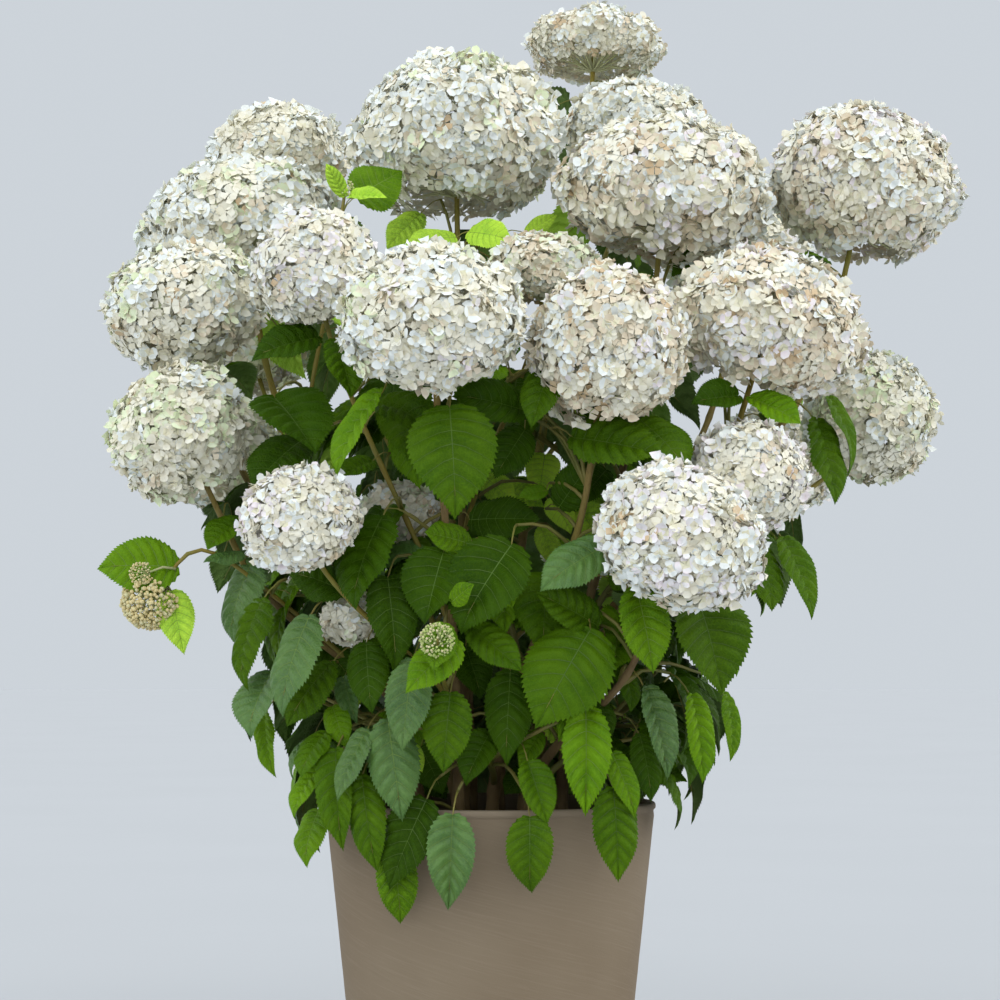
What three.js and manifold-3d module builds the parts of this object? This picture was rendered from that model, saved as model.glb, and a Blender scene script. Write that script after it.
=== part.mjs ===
// A mophead hydrangea shrub in a tall tapered clay planter, at its real size.
// Millimetres, +Z up. The origin is the centre of the planter's flat underside,
// and the side that is seen first faces -Y.
//
// The planter is filled with potting soil. Thirteen canes rise from one clump in it, each to a
// flower head on its own neck. The other heads stand on stalks that leave a cane's side. The
// leaves grow in opposite pairs: some on the necks and stalks of the heads, and the rest in
// masses, each of them on one stem that leaves a cane and forks into twigs.

import * as THREE from 'three';
import { mergeVertices } from 'three/addons/utils/BufferGeometryUtils.js';
import Module from 'manifold-3d';

const wasm = await Module();
wasm.setup();

// Driving sizes

const clearance = 0.4; // between solids that touch in the real plant
const planter = { height: 400, rimRadius: 205, footRadius: 161, wall: 13, floor: 18, sides: 36 };
const lip = { height: 9, step: 1.6, rounding: 3 };
const soil = { belowRim: 34, wallGap: 0.8 };
const cane = { footRadius: 7, tipRadius: 3.8, flare: 1.45, sides: 5, steps: 7 };
const clump = { innerRing: 48, outerRing: 88 };
const stalk = { footRadius: 3.4, tipRadius: 2.8, sides: 4, steps: 4, sunk: 16 };
const stem = { footRadius: 4.6, tipRadius: 4, sides: 4, steps: 3 };
const head = { underside: 0.86, dimple: 0.34, neck: 100, lump: 0.13 };
const twig = { footRadius: 3.6, tipRadius: 3, sides: 3, steps: 1 };
const leaf = { length: 132, breadth: 0.74, widestAt: 0.42, petiole: 32, stalkRadius: 1.3, keel: 0.024 };
const pairsAt = [0.92, 0.66, 0.42]; // shares of a twig's length that carry a pair of leaves
const soilTop = planter.height - soil.belowRim;

// Each flower head: the middle of the dome, its half-width and its half-height.
// A head with no `from` stands at the tip of its own cane. The others leave the named cane at
// that share of its length.
const heads = [
  { name: 'top_left', at: [-45, 60, 1241], wide: 137, tall: 114 },
  { name: 'top_right', at: [219, -30, 1155], wide: 134, tall: 98 },
  { name: 'right_upper', at: [476, 30, 1176], wide: 122, tall: 108 },
  { name: 'left_upper', at: [-325, 100, 1138], wide: 128, tall: 88 },
  { name: 'centre_left', at: [-65, -315, 953], wide: 105, tall: 88 },
  { name: 'centre', at: [134, -270, 927], wide: 92, tall: 99 },
  { name: 'right_middle', at: [333, -150, 970], wide: 115, tall: 97 },
  { name: 'left_outer', at: [-376, -60, 1008], wide: 102, tall: 82 },
  { name: 'crest', at: [145, 340, 1439], wide: 98, tall: 48 },
  { name: 'left_middle', at: [-368, -130, 841], wide: 87, tall: 89 },
  { name: 'right_front', at: [213, -330, 708], wide: 95, tall: 85 },
  { name: 'back_centre', at: [-71, 330, 1055], wide: 112, tall: 82 },
  { name: 'back_right', at: [350, 320, 1120], wide: 106, tall: 84 },
  { name: 'back_left', at: [-296, 270, 1266], wide: 97, tall: 73, from: ['back_centre', 0.5] },
  { name: 'left_pink', at: [-203, -215, 1027], wide: 75, tall: 77, from: ['centre_left', 0.5] },
  { name: 'centre_behind', at: [67, -80, 1050], wide: 70, tall: 48, from: ['top_left', 0.5] },
  { name: 'top_behind', at: [198, 200, 1287], wide: 101, tall: 69, from: ['crest', 0.6] },
  { name: 'right_lower', at: [494, 130, 887], wide: 88, tall: 95, from: ['right_upper', 0.45] },
  { name: 'right_small', at: [303, -212, 786], wide: 71, tall: 68, from: ['right_middle', 0.35] },
  { name: 'left_front', at: [-213, -290, 730], wide: 71, tall: 65, from: ['centre_left', 0.3] },
  { name: 'inner_left', at: [-111, -100, 750], wide: 50, tall: 40, from: ['centre_left', 0.35] },
  { name: 'inner_low', at: [-162, -170, 621], wide: 38, tall: 32, from: ['left_middle', 0.3] },
  { name: 'back_left_low', at: [-335, 320, 1010], wide: 96, tall: 76, from: ['left_upper', 0.5] },
  { name: 'back_middle', at: [-60, 430, 815], wide: 100, tall: 80, from: ['back_centre', 0.4] },
  { name: 'back_right_middle', at: [170, 440, 1045], wide: 94, tall: 76, from: ['crest', 0.45] },
  { name: 'back_right_low', at: [400, 320, 850], wide: 83, tall: 71, from: ['back_right', 0.4] },
  { name: 'back_far_left', at: [-350, 196, 838], wide: 79, tall: 71, from: ['left_upper', 0.35] },
  { name: 'back_low_left', at: [-250, 330, 690], wide: 69, tall: 60, from: ['back_centre', 0.25] },
  { name: 'back_low_right', at: [140, 390, 700], wide: 75, tall: 63, from: ['crest', 0.22] },
];

// Each mass of leaves: the cane that its stem leaves and the share of the cane's length there,
// the sector it fills in degrees (0 is +X, 90 is +Y), its heights, how far out its twigs end at
// those heights, and its rows and columns of twigs.
const masses = [
  { name: 'front_low', from: ['centre', 0.12], sector: [-118, -62], heights: [415, 545], out: [208, 240], grid: [2, 4] },
  { name: 'front_left_low', from: ['left_middle', 0.2], sector: [-166, -118], heights: [430, 580], out: [200, 240], grid: [2, 3] },
  { name: 'front_right_low', from: ['right_front', 0.14], sector: [-62, -16], heights: [430, 580], out: [200, 240], grid: [2, 3] },
  { name: 'left_low', from: ['left_outer', 0.14], sector: [166, 214], heights: [440, 600], out: [205, 250], grid: [2, 3] },
  { name: 'right_low', from: ['right_upper', 0.15], sector: [-12, 38], heights: [440, 620], out: [200, 250], grid: [2, 3] },
  { name: 'back_left_low', from: ['back_centre', 0.12], sector: [106, 162], heights: [430, 580], out: [200, 245], grid: [2, 3] },
  { name: 'back_right_low', from: ['back_right', 0.12], sector: [42, 100], heights: [430, 580], out: [200, 245], grid: [2, 3] },
  { name: 'front_middle', from: ['centre', 0.42], sector: [-122, -50], heights: [600, 790], out: [235, 215], grid: [2, 4] },
  { name: 'left_middle', from: ['left_upper', 0.4], sector: [168, 242], heights: [590, 800], out: [262, 235], grid: [2, 3] },
  { name: 'right_middle', from: ['top_right', 0.36], sector: [-50, 30], heights: [600, 830], out: [262, 225], grid: [2, 3] },
  { name: 'back_middle', from: ['back_centre', 0.42], sector: [56, 144], heights: [640, 860], out: [260, 225], grid: [2, 3] },
  { name: 'top', from: ['top_left', 0.6], sector: [-150, -30], heights: [870, 1000], out: [165, 135], grid: [1, 4] },
  { name: 'back_top', from: ['back_right', 0.6], sector: [20, 150], heights: [900, 1010], out: [200, 160], grid: [1, 4] },
];

// Each young shoot: its cane, the place where its stem bends, its bud head and that head's
// half-width, and where the tips of its leaves are.
const budShoots = [
  {
    name: 'left',
    from: ['left_middle', 0.5],
    bend: [-345, -150, 705],
    at: [-402, -150, 645],
    wide: 36,
    leafTips: [[-478, -165, 692], [-352, -165, 592], [-330, -90, 730]],
  },
  {
    name: 'top',
    from: ['left_outer', 0.7],
    bend: [-190, -85, 1060],
    at: [-178, -90, 1150],
    wide: 12,
    leafTips: [[-108, -100, 1150], [-205, -110, 1178], [-128, -135, 1120]],
  },
  {
    name: 'centre',
    from: ['centre_left', 0.2],
    bend: [-55, -270, 560],
    at: [-58, -335, 596],
    wide: 20,
    leafTips: [[-118, -345, 560], [-5, -350, 548]],
  },
];

const up = new THREE.Vector3(0, 0, 1);
const vector = (numbers) => new THREE.Vector3(...numbers);
const degrees = THREE.MathUtils.degToRad;
const { lerp, clamp } = THREE.MathUtils;

// The same sequence of numbers from 0 to 1 for the same seed.
function seeded(seed) {
  let state = (seed * 40503) >>> 0;
  return () => {
    state = (Math.imul(state, 1664525) + 1013904223) >>> 0;
    return state / 4294967296;
  };
}

// Solids

function barePoints(geometry) {
  const loose = geometry.index ? geometry.toNonIndexed() : geometry;
  const bare = new THREE.BufferGeometry().setAttribute('position', loose.getAttribute('position'));
  return mergeVertices(bare, 1e-3);
}

function solidOf(geometry) {
  const merged = barePoints(geometry);
  return new wasm.Manifold(new wasm.Mesh({
    numProp: 3,
    vertProperties: merged.attributes.position.array,
    triVerts: new Uint32Array(merged.index.array),
  }));
}

function geometryOf(solid) {
  const mesh = solid.getMesh();
  const geometry = new THREE.BufferGeometry();
  geometry.setAttribute('position', new THREE.BufferAttribute(mesh.vertProperties, mesh.numProp));
  geometry.setIndex(new THREE.BufferAttribute(mesh.triVerts, 1));
  geometry.computeVertexNormals();
  return geometry;
}

const largestPiece = (solid) => solid.decompose().reduce((a, b) => (b.volume() > a.volume() ? b : a));

// Joins rings of corners, each a list of points, into a closed skin with a flat fan at each end.
// A ring of one point is a tip.
function loft(rings) {
  const corners = [];
  const face = (a, b, c) => corners.push(...a.toArray(), ...b.toArray(), ...c.toArray());
  for (let i = 1; i < rings.length; i += 1) {
    const [low, high] = [rings[i - 1], rings[i]];
    for (let k = 0; k < low.length; k += 1) {
      const next = (k + 1) % low.length;
      if (high.length === 1) face(low[k], low[next], high[0]);
      else {
        face(low[k], low[next], high[next]);
        face(low[k], high[next], high[k]);
      }
    }
  }
  const [first, last] = [rings[0], rings[rings.length - 1]];
  for (let k = 1; k + 1 < first.length; k += 1) face(first[0], first[k + 1], first[k]);
  for (let k = 1; k + 1 < last.length; k += 1) face(last[0], last[k], last[k + 1]);
  const geometry = new THREE.BufferGeometry();
  return geometry.setAttribute('position', new THREE.BufferAttribute(new Float32Array(corners), 3));
}

// A tapering limb along a curve. radiusAt gives its radius at a share of its length.
function limb(curve, sides, steps, radiusAt) {
  const { normals, binormals } = curve.computeFrenetFrames(steps);
  const rings = normals.map((normal, i) => {
    const middle = curve.getPointAt(i / steps);
    const radius = radiusAt(i / steps);
    return Array.from({ length: sides }, (_, k) => {
      const turn = (2 * Math.PI * k) / sides;
      return middle.clone()
        .addScaledVector(normal, radius * Math.cos(turn))
        .addScaledVector(binormals[i], radius * Math.sin(turn));
    });
  });
  return loft(rings);
}

// Planter and soil

function planterGeometry() {
  const { height, rimRadius, footRadius, wall, floor, sides } = planter;
  const radiusAt = (z) => lerp(footRadius, rimRadius, z / height);
  const lipFoot = height - lip.height;
  const profile = [
    [0, 0],
    [footRadius - lip.rounding, 0],
    [radiusAt(lip.rounding), lip.rounding],
    [radiusAt(lipFoot) - lip.step, lipFoot],
    [rimRadius, lipFoot + lip.step],
    [rimRadius, height - lip.rounding],
    [rimRadius - lip.rounding, height],
    [rimRadius - wall, height],
    [radiusAt(floor) - wall, floor],
    [0, floor],
  ];
  const turned = new THREE.LatheGeometry(profile.map(([r, z]) => new THREE.Vector2(r, z)), sides);
  return turned.rotateX(Math.PI / 2);
}

function soilGeometry() {
  const { height, rimRadius, footRadius, wall, floor, sides } = planter;
  const innerFoot = lerp(footRadius, rimRadius, floor / height) - wall;
  const innerRim = rimRadius - wall;
  const innerAt = (z) => lerp(innerFoot, innerRim, (z - floor) / (height - floor)) - soil.wallGap;
  const bottom = floor + clearance;
  const profile = [[0, bottom], [innerAt(bottom), bottom], [innerAt(soilTop), soilTop], [0, soilTop]];
  const turned = new THREE.LatheGeometry(profile.map(([r, z]) => new THREE.Vector2(r, z)), sides);
  return turned.rotateX(Math.PI / 2);
}

// Flower heads

// Outer and lower heads lean further out from the planter's axis.
function headAxis({ at }) {
  const [x, y, z] = at;
  const outward = new THREE.Vector3(x, y, 0);
  const lowness = clamp((1200 - z) / 500, 0, 1);
  const lean = degrees((outward.length() / 500) * (12 + 30 * lowness));
  return outward.normalize().multiplyScalar(Math.sin(lean)).addScaledVector(up, Math.cos(lean));
}

// Where the stalk enters the hollow under the head.
function headFoot(bloom) {
  const depth = bloom.tall * (head.underside - head.dimple);
  return vector(bloom.at).addScaledVector(headAxis(bloom), -depth);
}

function headGeometry(bloom, random) {
  const geometry = barePoints(new THREE.IcosahedronGeometry(1, bloom.wide > 80 ? 2 : 1));
  const points = geometry.attributes.position;
  const point = new THREE.Vector3();
  for (let i = 0; i < points.count; i += 1) {
    point.fromBufferAttribute(points, i);
    const across = Math.hypot(point.x, point.y);
    const lump = 1 + head.lump * (random() - 0.62);
    let height = point.z * bloom.tall;
    if (point.z < 0) height = bloom.tall * (head.underside * point.z + head.dimple * Math.max(0, 1 - 2 * across));
    points.setXYZ(i, point.x * bloom.wide * lump, point.y * bloom.wide * lump, height * lump);
  }
  geometry.applyQuaternion(new THREE.Quaternion().setFromUnitVectors(up, headAxis(bloom)));
  return geometry.translate(...bloom.at);
}

// Canes

const leaders = heads.filter((bloom) => !bloom.from);
const azimuth = ({ at: [x, y] }) => Math.atan2(y, x);
const caneTip = (bloom) => headFoot(bloom).addScaledVector(headAxis(bloom), -head.neck);

// The canes' feet stand on two rings, in the order of their tips round the planter, so that none
// crosses another.
function caneCurves() {
  const inOrder = [...leaders].sort((a, b) => azimuth(a) - azimuth(b));
  const curves = {};
  inOrder.forEach((bloom, i) => {
    const turn = azimuth(inOrder[0]) + (2 * Math.PI * i) / inOrder.length;
    const ring = i % 2 ? clump.innerRing : clump.outerRing;
    const foot = new THREE.Vector3(ring * Math.cos(turn), ring * Math.sin(turn), soilTop + clearance);
    const tip = caneTip(bloom);
    const span = foot.distanceTo(tip);
    curves[bloom.name] = new THREE.CubicBezierCurve3(
      foot,
      foot.clone().addScaledVector(up, 0.4 * span),
      tip.clone().addScaledVector(headAxis(bloom), -0.35 * span),
      tip,
    );
  });
  return curves;
}

function caneRadius(share) {
  const flare = 1 + (cane.flare - 1) * Math.max(0, 1 - share * 8);
  return lerp(cane.footRadius, cane.tipRadius, share) * flare;
}

const canes = caneCurves();
const caneSolid = (name, extra = 0) =>
  solidOf(limb(canes[name], cane.sides, cane.steps, (share) => caneRadius(share) + extra));

// A curve that leaves a cane at a share of its length and ends at a place, heading along a
// direction there.
function leaving([name, share], end, heading) {
  const start = canes[name].getPointAt(share);
  const span = start.distanceTo(end);
  const along = canes[name].getTangentAt(share);
  const away = end.clone().sub(start).normalize().addScaledVector(along, 0.6).normalize();
  return new THREE.CubicBezierCurve3(
    start,
    start.clone().addScaledVector(away, 0.3 * span),
    end.clone().addScaledVector(heading, -0.3 * span),
    end,
  );
}

// Cuts a stem that starts inside its cane back to the cane's side.
const cutBack = (solid, name) => largestPiece(solid.subtract(caneSolid(name, clearance + 0.3)));

// Clearance

const boxed = (solid) => ({ solid, box: solid.boundingBox() });
const placed = [];

function boxesMeet(a, b) {
  return [0, 1, 2].every((k) => a.min[k] - clearance < b.max[k] && b.min[k] - clearance < a.max[k]);
}

function isClear(one, others) {
  return others.every((other) => !boxesMeet(one.box, other.box) || one.solid.minGap(other.solid, 1) > clearance);
}

// Shoots: what carries leaves. A station is a place for a pair of leaves on its stem: the point,
// the stem's direction there, which way round the pair stands, how far the leaves sweep outward,
// how they hang, and their length.

const shoots = [];

function addShoot(name, material, body, stations, own = []) {
  shoots.push({ name, material, body: boxed(body), stations, own: own.map(boxed), leaves: [] });
}

function addBloom(bloom, seed) {
  const random = seeded(seed);
  const axis = headAxis(bloom);
  const inside = headFoot(bloom).addScaledVector(axis, stalk.sunk);
  const footRadius = bloom.from ? stalk.footRadius : cane.tipRadius;
  const thickness = (share) => lerp(footRadius, stalk.tipRadius, share);
  const dome = solidOf(headGeometry(bloom, random));
  const start = caneTip(bloom).addScaledVector(axis, clearance);
  const curve = bloom.from ? leaving(bloom.from, inside, axis) : new THREE.LineCurve3(start, inside);
  let main = solidOf(limb(curve, stalk.sides, bloom.from ? stalk.steps : 1, thickness));
  if (bloom.from) main = cutBack(main, bloom.from[0]);
  const length = curve.getLength() - stalk.sunk;
  const stations = [100, 66].map((below, i) => {
    const share = 1 - (below + stalk.sunk + bloom.tall * head.dimple - 16) / curve.getLength();
    return {
      at: curve.getPointAt(clamp(share, 0.12, 0.9)),
      along: axis,
      roll: Math.PI * (0.5 * i + random()),
      sweep: 0.35,
      droop: 0.5,
      length: leaf.length * lerp(0.72, 0.95, clamp(bloom.wide / 120, 0, 1)),
    };
  });
  if (length > 260) {
    stations.push({ at: curve.getPointAt(0.42), along: curve.getTangentAt(0.42), roll: random(), sweep: 0.4, droop: 0.6, length: leaf.length });
  }
  addShoot(`bloom_${bloom.name}`, 'blossom', main.add(dome), stations, [dome]);
}

// The places where a mass's twigs end: rows and columns over its sector, each moved a little.
function twigTips({ sector, heights, out, grid: [rows, columns] }, random) {
  const tips = [];
  for (let row = 0; row < rows; row += 1) {
    for (let column = 0; column < columns; column += 1) {
      const turn = degrees(lerp(...sector, (column + 0.5 + 0.4 * (random() - 0.5)) / columns));
      const rise = clamp((row + 0.5 + 0.8 * (random() - 0.5)) / rows, 0, 1);
      const radius = lerp(...out, rise) * (0.92 + 0.16 * random());
      tips.push(new THREE.Vector3(radius * Math.cos(turn), radius * Math.sin(turn), lerp(...heights, rise)));
    }
  }
  return tips;
}

function taperedSolid(curve, { footRadius, tipRadius, sides, steps }) {
  return solidOf(limb(curve, sides, steps, (share) => lerp(footRadius, tipRadius, share)));
}

// One mass: a stem from its cane, a twig from the stem to each tip, and two pairs of leaves on
// each twig.
function addMass(mass, seed) {
  const random = seeded(seed);
  const tips = twigTips(mass, random);
  const middle = tips.reduce((sum, tip) => sum.add(tip), new THREE.Vector3()).divideScalar(tips.length);
  const hub = new THREE.Vector3(middle.x * 0.76, middle.y * 0.76, middle.z - 20);
  const heading = hub.clone().setZ(0).normalize().addScaledVector(up, 0.5).normalize();
  const stemCurve = leaving(mass.from, hub, heading);
  const main = cutBack(taperedSolid(stemCurve, stem), mass.from[0]);
  if (!isClear(boxed(main), placed)) console.warn(`leaves_${mass.name}: its stem touches something`);
  const droop = lerp(0.78, 0.5, clamp((middle.z - 450) / 450, 0, 1));
  const twigs = [];
  const stations = [];
  tips.forEach((tip, i) => {
    const start = stemCurve.getPointAt(lerp(0.5, 0.97, (i + 0.5) / tips.length));
    const curve = new THREE.LineCurve3(start, tip);
    const roll = random();
    const made = taperedSolid(curve, twig);
    if (!isClear(boxed(made), placed)) return;
    twigs.push(made);
    pairsAt.forEach((share, k) => {
      const at = curve.getPointAt(share);
      const along = curve.getTangentAt(share);
      stations.push({ at, along, roll: roll + (k * Math.PI) / 2, sweep: 0.7, droop, length: leaf.length });
    });
  });
  addShoot(`leaves_${mass.name}`, 'foliage', largestPiece(wasm.Manifold.union([main, ...twigs])), stations);
}

// A young shoot with a small round bud head. Its leaves are given by where their tips are.
function addBudShoot(shoot) {
  const [bend, at] = [vector(shoot.bend), vector(shoot.at)];
  const start = canes[shoot.from[0]].getPointAt(shoot.from[1]);
  const curve = new THREE.CatmullRomCurve3([start, start.clone().lerp(bend, 0.55).addScaledVector(up, 12), bend, at]);
  const main = cutBack(taperedSolid(curve, { ...twig, steps: 5 }), shoot.from[0]);
  const ball = solidOf(barePoints(new THREE.IcosahedronGeometry(shoot.wide, 1)).translate(...shoot.at));
  const stations = [{ at: curve.getPointAt(0.72), tips: shoot.leafTips.map(vector) }];
  addShoot(`bud_shoot_${shoot.name}`, 'foliage', main.add(ball), stations, [ball]);
}

// Leaves

// One leaf with its stalk, from its joint: a flat face above and a keel below.
function leafSolid({ joint, base, widest, tip, facing, length }) {
  const run = tip.clone().sub(base).normalize();
  const normal = facing.clone().addScaledVector(run, -facing.dot(run)).normalize();
  const side = run.clone().cross(normal);
  const section = (middle, halfWidth, keel) => [
    middle.clone().addScaledVector(side, -halfWidth),
    middle.clone().addScaledVector(side, halfWidth),
    middle.clone().addScaledVector(normal, -keel),
  ];
  const thin = leaf.stalkRadius;
  return solidOf(loft([
    section(joint, thin, thin * 1.4),
    section(widest, length * leaf.breadth * 0.5, length * leaf.keel),
    [tip],
  ]));
}

// The leaves that a station asks for: where each one's joint, blade and tip are.
function leavesAt(station, random) {
  const { at, along, tips } = station;
  const outward = new THREE.Vector3(at.x, at.y, 0).normalize();
  if (tips) {
    return tips.map((tip) => {
      const base = at.clone().lerp(tip, 0.14);
      const length = base.distanceTo(tip);
      const widest = base.clone().lerp(tip, leaf.widestAt).addScaledVector(up, length * 0.06);
      return { joint: at, base, widest, tip, facing: up.clone().addScaledVector(outward, 0.9), length };
    });
  }
  const level = outward.clone().cross(up);
  const across = level.multiplyScalar(Math.cos(station.roll)).addScaledVector(outward, Math.sin(station.roll));
  across.addScaledVector(along, -across.dot(along)).normalize();
  return [1, -1].map((turn) => {
    const sweep = station.sweep * (0.7 + 0.6 * random());
    const droop = clamp(station.droop + 0.3 * (random() - 0.5), 0.15, 0.9);
    const length = station.length * (0.8 + 0.34 * random());
    const sway = [random() - 0.5, random() - 0.5];
    const heading = across.clone().multiplyScalar(turn).addScaledVector(outward, sweep).normalize();
    const hang = (share) => heading.clone().multiplyScalar(1 - share).addScaledVector(up, -share).normalize();
    const base = at.clone().addScaledVector(heading.clone().addScaledVector(up, 0.25).normalize(), leaf.petiole);
    const widest = base.clone().addScaledVector(hang(droop * 0.7), length * leaf.widestAt);
    const end = widest.clone().addScaledVector(hang(droop), length * (1 - leaf.widestAt));
    const facing = outward.clone().multiplyScalar(0.8 + 0.5 * sway[0]).addScaledVector(up, 0.75)
      .addScaledVector(level, 0.5 * sway[1]).addScaledVector(heading, 0.3);
    return { joint: at, base, widest, tip: end, facing, length };
  });
}

const lowestLeaf = 275;

function addLeaves(shoot, seed) {
  const random = seeded(seed);
  const bodies = shoots.filter((other) => other !== shoot).map(({ body }) => body);
  const others = [...placed, ...bodies, ...shoot.own];
  shoot.stations.forEach((station) => {
    const earlier = shoots.flatMap(({ leaves }) => leaves);
    leavesAt(station, random).forEach((shape) => {
      if (shape.tip.z < lowestLeaf) return;
      const made = boxed(leafSolid(shape));
      if (isClear(made, [...others, ...earlier])) shoot.leaves.push(made);
    });
  });
}

// The whole plant

const colours = {
  clay: new THREE.MeshStandardMaterial({ color: 0xa8917f, roughness: 0.85, metalness: 0 }),
  earth: new THREE.MeshStandardMaterial({ color: 0x3a2a1e, roughness: 1, metalness: 0 }),
  bark: new THREE.MeshStandardMaterial({ color: 0x8a6f42, roughness: 0.8, metalness: 0 }),
  blossom: new THREE.MeshStandardMaterial({ color: 0xf1ebe2, roughness: 0.7, metalness: 0 }),
  foliage: new THREE.MeshStandardMaterial({ color: 0x3f6b1f, roughness: 0.55, metalness: 0 }),
};

const shrub = new THREE.Group();

function addNode(name, geometry, material) {
  const mesh = new THREE.Mesh(geometry, material.clone());
  mesh.name = name;
  shrub.add(mesh);
}

addNode('planter', planterGeometry(), colours.clay);
addNode('potting_soil', soilGeometry(), colours.earth);
placed.push(boxed(solidOf(planterGeometry())), boxed(solidOf(soilGeometry())));

leaders.forEach(({ name }) => {
  addNode(`cane_${name}`, limb(canes[name], cane.sides, cane.steps, caneRadius), colours.bark);
  placed.push(boxed(caneSolid(name)));
});

heads.forEach((bloom, i) => addBloom(bloom, 11 + i));
budShoots.forEach((shoot) => addBudShoot(shoot));
shoots.forEach(({ body }) => placed.push(body));
masses.forEach((mass, i) => {
  addMass(mass, 101 + i);
  placed.push(shoots[shoots.length - 1].body);
});
placed.length = 2 + leaders.length;

shoots.forEach((shoot, i) => addLeaves(shoot, 201 + i));
shoots.forEach(({ name, material, body, leaves }) => {
  const whole = largestPiece(wasm.Manifold.union([body.solid, ...leaves.map(({ solid }) => solid)]));
  addNode(name, geometryOf(whole), colours[material]);
});

export default shrub;
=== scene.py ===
"""A mophead hydrangea shrub in a tall clay planter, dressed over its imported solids.

The rule that grew the solids is repeated here in millimetres, with the same seeds, and is carried
on to florets, veined leaves and finer twigs. Meshes are written out in metres.
"""

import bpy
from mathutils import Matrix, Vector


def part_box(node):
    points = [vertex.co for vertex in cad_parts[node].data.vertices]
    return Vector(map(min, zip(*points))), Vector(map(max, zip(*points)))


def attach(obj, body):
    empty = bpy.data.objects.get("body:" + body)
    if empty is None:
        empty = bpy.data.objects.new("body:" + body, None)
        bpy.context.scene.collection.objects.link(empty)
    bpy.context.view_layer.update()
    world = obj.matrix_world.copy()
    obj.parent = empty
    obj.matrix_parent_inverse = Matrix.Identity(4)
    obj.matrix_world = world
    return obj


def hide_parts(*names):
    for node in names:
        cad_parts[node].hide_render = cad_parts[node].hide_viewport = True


bl_info = {
    "name": "Potted hydrangea shrub",
    "version": (1, 0, 0),
    "blender": (4, 5, 0),
    "location": "3D View > Sidebar > Hydrangea",
    "description": "Builds a flowering hydrangea and its clay planter piece by piece",
    "category": "Object",
}

from functools import cache
from math import atan, atan2, cos, inf, pi, radians, sin, sqrt

import bpy
import numpy as np
from bpy.props import FloatProperty, FloatVectorProperty, PointerProperty
from bpy.types import Operator, Panel, PropertyGroup
from mathutils import Euler, Vector, noise
from numpy.linalg import norm
from numpy.random import default_rng

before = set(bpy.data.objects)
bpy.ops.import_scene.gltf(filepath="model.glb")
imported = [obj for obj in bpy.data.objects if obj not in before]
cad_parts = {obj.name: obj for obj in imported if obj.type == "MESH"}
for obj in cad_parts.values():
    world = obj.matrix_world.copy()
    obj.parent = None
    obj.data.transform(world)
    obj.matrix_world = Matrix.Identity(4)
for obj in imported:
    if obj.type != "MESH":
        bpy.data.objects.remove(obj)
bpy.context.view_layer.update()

MM = 0.001
UP = np.array((0.0, 0.0, 1.0))
GOLDEN = pi * (3 - sqrt(5))

# Name, middle of the dome, half-width, half-height, the cane that the stalk leaves with the
# share of its length there, and the tints dealt to its florets: white, cream, pink, green, tan.
HEADS = (
    ("top_left", (-45, 60, 1241), 137, 114, None, "wwwwwwwccg"),
    ("top_right", (219, -30, 1155), 134, 98, None, "wwwwwccctp"),
    ("right_upper", (476, 30, 1176), 122, 108, None, "wwwcccpppt"),
    ("left_upper", (-325, 100, 1138), 128, 88, None, "wwwwwwwcg"),
    ("centre_left", (-65, -315, 953), 105, 88, None, "wwwwwwccpg"),
    ("centre", (134, -270, 927), 92, 99, None, "wwwccccpptt"),
    ("right_middle", (333, -150, 970), 115, 97, None, "wwwccccppptt"),
    ("left_outer", (-376, -60, 1008), 102, 82, None, "wwwwwccccg"),
    ("crest", (145, 340, 1439), 98, 48, None, "ccwwt"),
    ("left_middle", (-368, -130, 841), 87, 89, None, "wccgg"),
    ("right_front", (213, -330, 708), 95, 85, None, "wwwcppp"),
    ("back_centre", (-71, 330, 1055), 112, 82, None, "wwwwwwccct"),
    ("back_right", (350, 320, 1120), 106, 84, None, "wwccp"),
    ("back_left", (-296, 270, 1266), 97, 73, ("back_centre", 0.5), "wwwcc"),
    ("left_pink", (-203, -215, 1027), 75, 77, ("centre_left", 0.5), "wwwppc"),
    ("centre_behind", (67, -80, 1050), 70, 48, ("top_left", 0.5), "wccgt"),
    ("top_behind", (198, 200, 1287), 101, 69, ("crest", 0.6), "wwwwc"),
    ("right_lower", (494, 130, 887), 88, 95, ("right_upper", 0.45), "wwwccccgg"),
    ("right_small", (303, -212, 786), 71, 68, ("right_middle", 0.35), "wwwppc"),
    ("left_front", (-213, -290, 730), 71, 65, ("centre_left", 0.3), "wwwppc"),
    ("inner_left", (-111, -100, 750), 50, 40, ("centre_left", 0.35), "wccgt"),
    ("inner_low", (-162, -170, 621), 38, 32, ("left_middle", 0.3), "wccg"),
    ("back_left_low", (-335, 320, 1010), 96, 76, ("left_upper", 0.5), "wwwcp"),
    ("back_middle", (-60, 430, 815), 100, 80, ("back_centre", 0.4), "wwwcg"),
    ("back_right_middle", (170, 440, 1045), 94, 76, ("crest", 0.45), "wwccp"),
    ("back_right_low", (400, 320, 850), 83, 71, ("back_right", 0.4), "wwwpp"),
    ("back_far_left", (-350, 196, 838), 79, 71, ("left_upper", 0.35), "wwccg"),
    ("back_low_left", (-250, 330, 690), 69, 60, ("back_centre", 0.25), "wwppc"),
    ("back_low_right", (140, 390, 700), 75, 63, ("crest", 0.22), "wwwcg"),
)

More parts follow.
